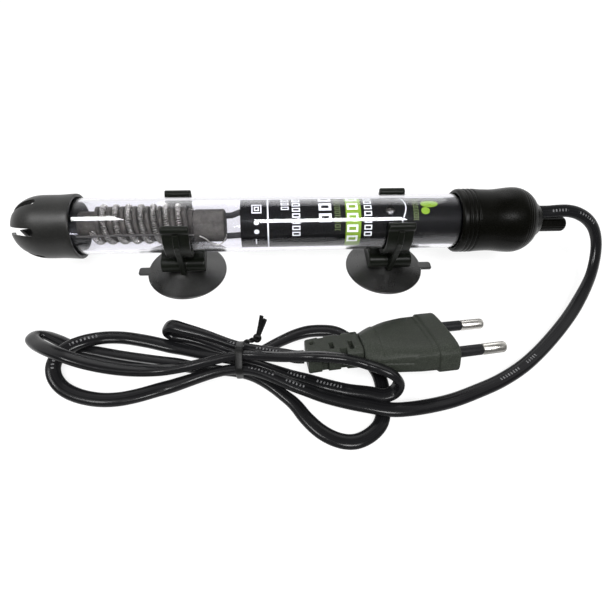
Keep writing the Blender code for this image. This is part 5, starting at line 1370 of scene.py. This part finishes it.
def make_tie(material):
    """Flat wire tie: a band round the bundle, a twisted knot and two bent tails.

    The knot's two strands are screws about one line, half a turn apart.
    """
    offset = 1.6 * MM + 0.35 * MM + 0.5 * MM
    line = tie_line(offset)
    band = swept(line, ellipse(0.5 * MM, 1.4 * MM, 20, 3.2), closed=True, start=(1.0, 0.0, 0.0))
    shapes = [outward(band)]
    back = np.array([TIE_X, TIE_PASSES[0, 0] + offset, TIE_PASSES[0, 1]])
    t = np.linspace(0, 1, 70)
    for k in range(2):
        # two strands leave the band and screw round each other up to the knot
        middle = back + (TIE_KNOT - back) * t[:, None]
        turn = 2 * math.pi * 1.6 * t + math.pi * k
        wide = 0.42 * MM * np.clip(4 * t, 0.2, 1)
        axis = unit(TIE_KNOT - back)
        one = unit(np.cross(axis, (0, 0, 1.0)))
        two = np.cross(axis, one)
        path = middle + wide[:, None] * (np.cos(turn)[:, None] * one + np.sin(turn)[:, None] * two)
        shapes.append(outward(swept(path, ellipse(0.55 * MM, 0.4 * MM, 12, 3.0))))
    # the knot: one and a half tight turns round the strands
    turn = np.linspace(0, 2 * math.pi * 1.6, 60)
    climb = 0.5 * MM * (turn / 6 - 0.8) + 0.5 * MM * np.sin(turn)
    ring = TIE_KNOT + np.stack([1.0 * MM * np.cos(turn), climb, 1.0 * MM * np.sin(turn)], -1)
    shapes.append(outward(swept(ring, ellipse(0.62 * MM, 0.45 * MM, 12, 3.0))))
    for bend, tip in (((1.0, 2.6, 3.4), (1.9, 4.9, 7.2)), ((1.7, 2.4, 2.8), (3.2, 4.5, 5.7))):
        route = smooth_route([TIE_KNOT, TIE_KNOT + np.array(bend) * MM, TIE_KNOT + np.array(tip) * MM],
                             0.3 * MM)
        shapes.append(outward(swept(route, ellipse(0.75 * MM, 0.34 * MM, 16, 3.6))))
    return add_piece("wire_tie", joined(shapes), material)


# ---------------------------------------------------------------- bare tail wire
WIRE_AT = TUBE_R - TUBE_WALL - 0.7 * MM       # radius at which the bare wires run
TAIL_WIRE_R = 0.21 * MM
# mm from the head's left end, mm inwards, degrees from +Y towards +Z
TAIL_WIRE_BOW = np.array([(2.7, 0.0, 168), (4.7, 0.0, 175), (6.7, 0.0, 189), (8.7, 0.0, 198),
                          (10.7, 0.1, 194), (12.3, 0.3, 180), (13.1, 0.8, 168)])


def make_tail_wire(material):
    """Fine bare wire that bows out from the ceramic head, between it and the glass.

    A point at (x, inward, turn) is (x, r cos turn, r sin turn) about the tube's axis.
    """
    along, inward, turn = TAIL_WIRE_BOW.T
    path = smooth_route(round_axis(HEAD_LOW[0] + along * MM, WIRE_AT - inward * MM,
                                   np.radians(turn)), 0.2 * MM)
    return add_piece("tail_wire_fine", swept(path, ellipse(TAIL_WIRE_R, TAIL_WIRE_R, 10)), material)


# ---------------------------------------------------------------- inner pieces kept from the frame
def give(material, *nodes):
    """Set a CAD node's material."""
    for name in nodes:
        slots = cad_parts[name].material_slots
        if not slots:
            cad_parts[name].data.materials.append(material)
        for slot in slots:
            slot.material = material


def braided(name, dark, pale):
    """Glass-fibre sleeving: two crossing sets of slanting strands."""
    mat, tree, shader = new_material(name, dark, 0.7)
    sets = []
    for slant in (0.8, -0.8):
        where = place_of(tree, (1.0, 1.0, 1.0), (slant, 0.0, slant))
        wave = put(tree, "TexWave", Vector=where, Scale=900.0, Distortion=1.5)
        sets.append(wave.outputs["Fac"])
    weave = maths(tree, "MULTIPLY", sets[0], sets[1])
    tree.links.new(blend_colour(tree, ramp(tree, weave, 0.35, 0.9), dark, pale),
                   shader.inputs["Base Color"])
    bump(tree, shader, weave, 0.00006)
    return mat


def banded(name, base, rings):
    """Small part with coloured rings across X; a ring is (x, half width, colour)."""
    mat, tree, shader = new_material(name, base, 0.45)
    x = put(tree, "SeparateXYZ", Vector=place_of(tree)).outputs[0]
    colour = blend_colour(tree, ramp(tree, noise(tree, place_of(tree), 1500.0), 0.3, 0.7), base,
                          tuple(c * 0.8 for c in base))
    for at, half, rgb in rings:
        colour = blend_colour(tree, maths(tree, "COMPARE", x, at, half), colour, rgb)
    tree.links.new(colour, shader.inputs["Base Color"])
    return mat


def lamp_glass():
    """Small unlit glow lamp: smoky glass."""
    mat, tree, shader = new_material("lamp_glass", (0.06, 0.055, 0.05), 0.05)
    shader.inputs["Transmission Weight"].default_value = 0.3
    cloud = noise(tree, place_of(tree), 700.0)
    tree.links.new(ramp(tree, cloud, 0.3, 0.7, 0.02, 0.2), shader.inputs["Roughness"])
    return mat


def dress_inner_pieces(rubber):
    """Materials of the inner pieces that keep their solids."""
    give(metal_material("spring_steel", (0.6, 0.61, 0.62), 0.3, (0.1, 1, 1)), "knob_shaft",
         "strip_clamp")
    give(metal_material("brass", (0.72, 0.53, 0.24), 0.3), "adjust_cam")
    give(metal_material("bimetal", (0.7, 0.58, 0.38), 0.32, (0.1, 1, 1)), "bimetal_strip")
    give(metal_material("contact_silver", (0.78, 0.77, 0.72), 0.22), "contact_fixed",
         "contact_moving")
    give(metal_material("dull_wire", (0.12, 0.115, 0.11), 0.5, (0.1, 1, 1), 0.6), "return_wire")
    give(metal_material("copper_lead", (0.75, 0.38, 0.2), 0.3), "lamp_lead")
    give(moulded_plastic("magnet_black", (0.03, 0.03, 0.033), (0.09, 0.09, 0.1), 0.5), "snap_magnet")
    give(moulded_plastic("core_brown", (0.2, 0.08, 0.03), (0.27, 0.12, 0.05), 0.4), "core_line")
    give(moulded_plastic("core_blue", (0.02, 0.06, 0.26), (0.04, 0.09, 0.33), 0.4), "core_neutral")
    give(moulded_plastic("board_laminate", (0.3, 0.2, 0.08), (0.42, 0.3, 0.14), 0.5), "switch_board")
    give(ceramic_material("thermostat_ceramic", (0.5, 0.47, 0.4), (0.78, 0.75, 0.68)),
         "thermostat_base")
    give(moulded_plastic("ring_rubber", (0.2, 0.05, 0.03), (0.28, 0.08, 0.05), 0.5), "shaft_ring")
    give(rubber, "tube_gasket", "tube_stopper", "cord_gland")
    give(braided("wire_sleeving", (0.008, 0.008, 0.009), (0.05, 0.05, 0.055)), "lead_sleeve_upper",
         "lead_sleeve_lower")
    give(lamp_glass(), "indicator_lamp")
    low, high = corners("lamp_resistor")
    span = high[0] - low[0]
    rings = [(low[0] + span * share, 0.22 * MM, rgb) for share, rgb in
             ((0.22, (0.5, 0.06, 0.03)), (0.38, (0.35, 0.03, 0.3)), (0.54, (0.6, 0.3, 0.02)),
              (0.78, (0.55, 0.4, 0.1)))]
    give(banded("resistor", (0.62, 0.52, 0.36), rings), "lamp_resistor")


# ---------------------------------------------------------------- surroundings
ROOM_LIGHT = 0.37                 # strength of the even light all round
ROOM_SEEN = 0.15                  # what reflections see overhead and in front
LAMP_AWAY = 0.62
# name, (length, width), watts, place along X, degrees from +Y towards +Z, degrees it is turned
LAMPS = (("key_box", (0.257, 0.15), 3.0, 0.0735, 129.5, 0),
         ("left_box", (0.18, 0.18), 2.4, -0.384, 110, 45),
         ("back_box", (0.5, 0.42), 1.0, 0.03, 41, 0))


def white_behind(tree, lit, shown):
    """Mix of two shaders: shown for camera, glossy and transmission rays, else lit."""
    path = put(tree, "LightPath").outputs
    seen = maths(tree, "MAXIMUM", path["Is Camera Ray"],
                 maths(tree, "MAXIMUM", path["Is Glossy Ray"], path["Is Transmission Ray"]))
    return put(tree, "MixShader", _0=seen, _1=lit, _2=shown).outputs[0]


def make_floor():
    """Pale floor: white to the eye, and it keeps a soft shadow of the object."""
    half = 3.0
    mesh = bpy.data.meshes.new("floor")
    mesh.from_pydata([(-half, -half, 0), (half, -half, 0), (half, half, 0), (-half, half, 0)], [],
                     [(0, 1, 2, 3)])
    floor = bpy.data.objects.new("floor", mesh)
    bpy.context.scene.collection.objects.link(floor)
    floor.location.z = -0.0002
    mat = bpy.data.materials.new("pale_floor")
    mat.use_nodes = True
    tree = mat.node_tree
    tree.nodes.remove(tree.nodes["Principled BSDF"])
    grain = noise(tree, place_of(tree), 600.0)
    paper = put(tree, "BsdfDiffuse", Color=blend_colour(tree, grain, (0.26, 0.26, 0.26),
                                                        (0.28, 0.28, 0.28))).outputs[0]
    far = put(tree, "VectorMath", operation="LENGTH", _0=place_of(tree)).outputs["Value"]
    glow = put(tree, "Emission", Color=(1, 1, 1, 1),
               Strength=ramp(tree, far, 0.4, 0.9, 0.8, 1.0)).outputs[0]
    shown = put(tree, "AddShader", _0=paper, _1=glow).outputs[0]
    # reflections see the floor fade to grey some way in front of the object
    back = put(tree, "SeparateXYZ", Vector=place_of(tree)).outputs[1]
    grey = put(tree, "BsdfDiffuse", Color=(ROOM_SEEN, ROOM_SEEN, ROOM_SEEN, 1)).outputs[0]
    front = maths(tree, "MULTIPLY", ramp(tree, back, -0.1, -0.05, 1.0, 0.0),
                  put(tree, "LightPath").outputs["Is Glossy Ray"])
    shown = put(tree, "MixShader", _0=front, _1=shown, _2=grey).outputs[0]
    lit = put(tree, "BsdfDiffuse", Color=(0.8, 0.8, 0.8, 1)).outputs[0]
    tree.links.new(white_behind(tree, lit, shown), tree.nodes["Material Output"].inputs["Surface"])
    mesh.materials.append(mat)


def make_world():
    """Even grey light all round, which the eye sees as white.

    Reflections see the white backdrop behind the object, and a dim room overhead and in front.
    """
    world = bpy.data.worlds.new("studio")
    bpy.context.scene.world = world
    world.use_nodes = True
    tree = world.node_tree
    tree.nodes.remove(tree.nodes["Background"])
    dim = put(tree, "Background", Color=(1, 1, 1, 1), Strength=ROOM_LIGHT).outputs[0]
    toward = put(tree, "SeparateXYZ", Vector=put(tree, "TexCoord").outputs["Generated"]).outputs
    bright = maths(tree, "MINIMUM", ramp(tree, toward[2], 0.68, 0.92, 1.0, ROOM_SEEN),
                   ramp(tree, toward[1], -0.1, 0.2, ROOM_SEEN, 1.0))
    bright = maths(tree, "MAXIMUM", bright, put(tree, "LightPath").outputs["Is Camera Ray"])
    white = put(tree, "Background", Color=(1, 1, 1, 1), Strength=bright).outputs[0]
    tree.links.new(white_behind(tree, dim, white), tree.nodes["World Output"].inputs["Surface"])


def add_lamp(name, size, power, place, aim, turn=0.0):
    """Soft rectangular lamp of (length, width) at a place, pointed at aim and turned."""
    data = bpy.data.lights.new(name, "AREA")
    data.shape = "RECTANGLE"
    data.size, data.size_y = size
    data.energy = power
    lamp = bpy.data.objects.new(name, data)
    lamp.location = place
    lamp.rotation_mode = "QUATERNION"
    facing = (Vector(aim) - Vector(place)).to_track_quat("-Z", "Y")
    lamp.rotation_quaternion = facing @ Quaternion((0.0, 0.0, 1.0), turn)
    bpy.context.scene.collection.objects.link(lamp)


def make_lamps():
    """Two soft boxes over the tube, whose mirror images are the streaks on the glass.

    Each hangs at an angle from +Y towards +Z about the tube's axis; the left one is turned
    on its corner, so that its streak ends in a point.  A wide dim one stands behind.
    """
    for name, size, power, x, turn, corner in LAMPS:
        angle = math.radians(turn)
        place = (x, LAMP_AWAY * math.cos(angle), AXIS_Z + LAMP_AWAY * math.sin(angle))
        add_lamp(name, size, power, place, (0.5 * x, 0.0, AXIS_Z), math.radians(corner))


# ---------------------------------------------------------------- the whole scene
def add_cord_and_plug(cord):
    """Plug, tie and cord."""
    plastic = moulded_plastic("plug_plastic", (0.02, 0.023, 0.018), (0.05, 0.056, 0.046), 0.5)
    metal = metal_material("pin_nickel", (0.6, 0.585, 0.55), 0.24, (0.1, 1, 1), 0.88)
    sleeving = moulded_plastic("pin_sleeving", (0.01, 0.01, 0.011), (0.02, 0.02, 0.022), 0.35)
    plug = make_plug(plastic, sleeving, metal)
    for node, piece in plug.items():
        slot = "pin_metal" if "pin_" in node and "sleeve" not in node else "plug_plastic"
        settle(piece, "heater", slot, node)
    black = moulded_plastic("tie_plastic", (0.004, 0.004, 0.004), (0.011, 0.011, 0.011), 0.4)
    tie = settle(make_tie(black), "heater", "tie_wire", "cord_tie")
    settle(cord, "heater", "cord_jacket", "cord_lead", "cord_hank")


def add_shell(guard, rubber):
    """Glass tube, guard cap, seal cap and knob."""
    settle(make_glass_tube(), "heater", "clear_glass", "glass_tube")
    settle(make_guard_cap(guard), "heater", "black_plastic", "guard_cap")
    settle(make_seal_cap(rubber), "heater", "seal_rubber", "seal_cap")
    black = moulded_plastic("knob_plastic", (0.0014, 0.0014, 0.0009), (0.0036, 0.0036, 0.0028), 0.3,
                            gleam=0.09)
    settle(make_knob(black), "knob", "black_plastic", "temperature_knob")


def add_element():
    """Coil, former, head block and tail wire."""
    wire = metal_material("resistance_wire", (0.72, 0.7, 0.66), 0.2, tarnish=0.3)
    settle(make_coil(wire), "heater", "heating_wire", "heating_coil")
    # the former's colour is its own grey-brown darkened far past the pale thermostat ceramic: painted
    # shade between the coil's turns
    ceramic = ceramic_material("former_ceramic_painted_shade", (0.016, 0.014, 0.012), (0.05, 0.044, 0.038))
    settle(make_former(ceramic), "heater", "ceramic", "ceramic_former")
    head = ceramic_material("head_ceramic", (0.024, 0.022, 0.019), (0.062, 0.057, 0.05))
    settle(make_head(head), "heater", "ceramic", "ceramic_head")
    bare = metal_material("bare_wire", (0.8, 0.79, 0.74), 0.25, (0.1, 1, 1), 0.8)
    settle(make_tail_wire(bare), "heater", "heating_wire", "tail_wire")


def add_clips_and_cups(plastic, rubber):
    """Each clip and its suction cup, on their own bodies."""
    for side, clip, cup in zip(("left", "right"), make_clips(plastic), make_cups(rubber)):
        settle(clip, "clip_" + side, "clip_plastic", "clip_" + side)
        settle(cup, "cup_" + side, "cup_rubber", "suction_cup_" + side)


def build():
    """Make every piece and put each on its body."""
    make_camera()
    cord, path = make_cord()
    clip_plastic = moulded_plastic("clip_plastic", (0.0035, 0.0045, 0.0028), (0.008, 0.01, 0.0065),
                                   0.34, gleam=0.15)
    guard = moulded_plastic("guard_plastic", (0.008, 0.008, 0.0075), (0.022, 0.022, 0.02), 0.4,
                            gleam=0.38)
    rubber = moulded_plastic("seal_rubber", (0.0014, 0.0014, 0.0008), (0.0036, 0.0036, 0.0026), 0.28,
                             gleam=0.09)
    cup_rubber = moulded_plastic("cup_rubber", (0.007, 0.007, 0.0068), (0.022, 0.022, 0.021), 0.32,
                                 gleam=0.5)
    add_cord_and_plug(cord)
    add_shell(guard, rubber)
    add_element()
    lamp_low, lamp_high = corners("indicator_lamp")
    sleeve = make_sleeve((lamp_low[0] + lamp_high[0]) / 2)
    settle(sleeve, "heater", "printed_film", "label_sleeve")
    add_clips_and_cups(clip_plastic, cup_rubber)
    dress_inner_pieces(rubber)

    make_floor()
    make_world()
    make_lamps()
    bpy.context.scene.view_settings.view_transform = "Standard"


build()
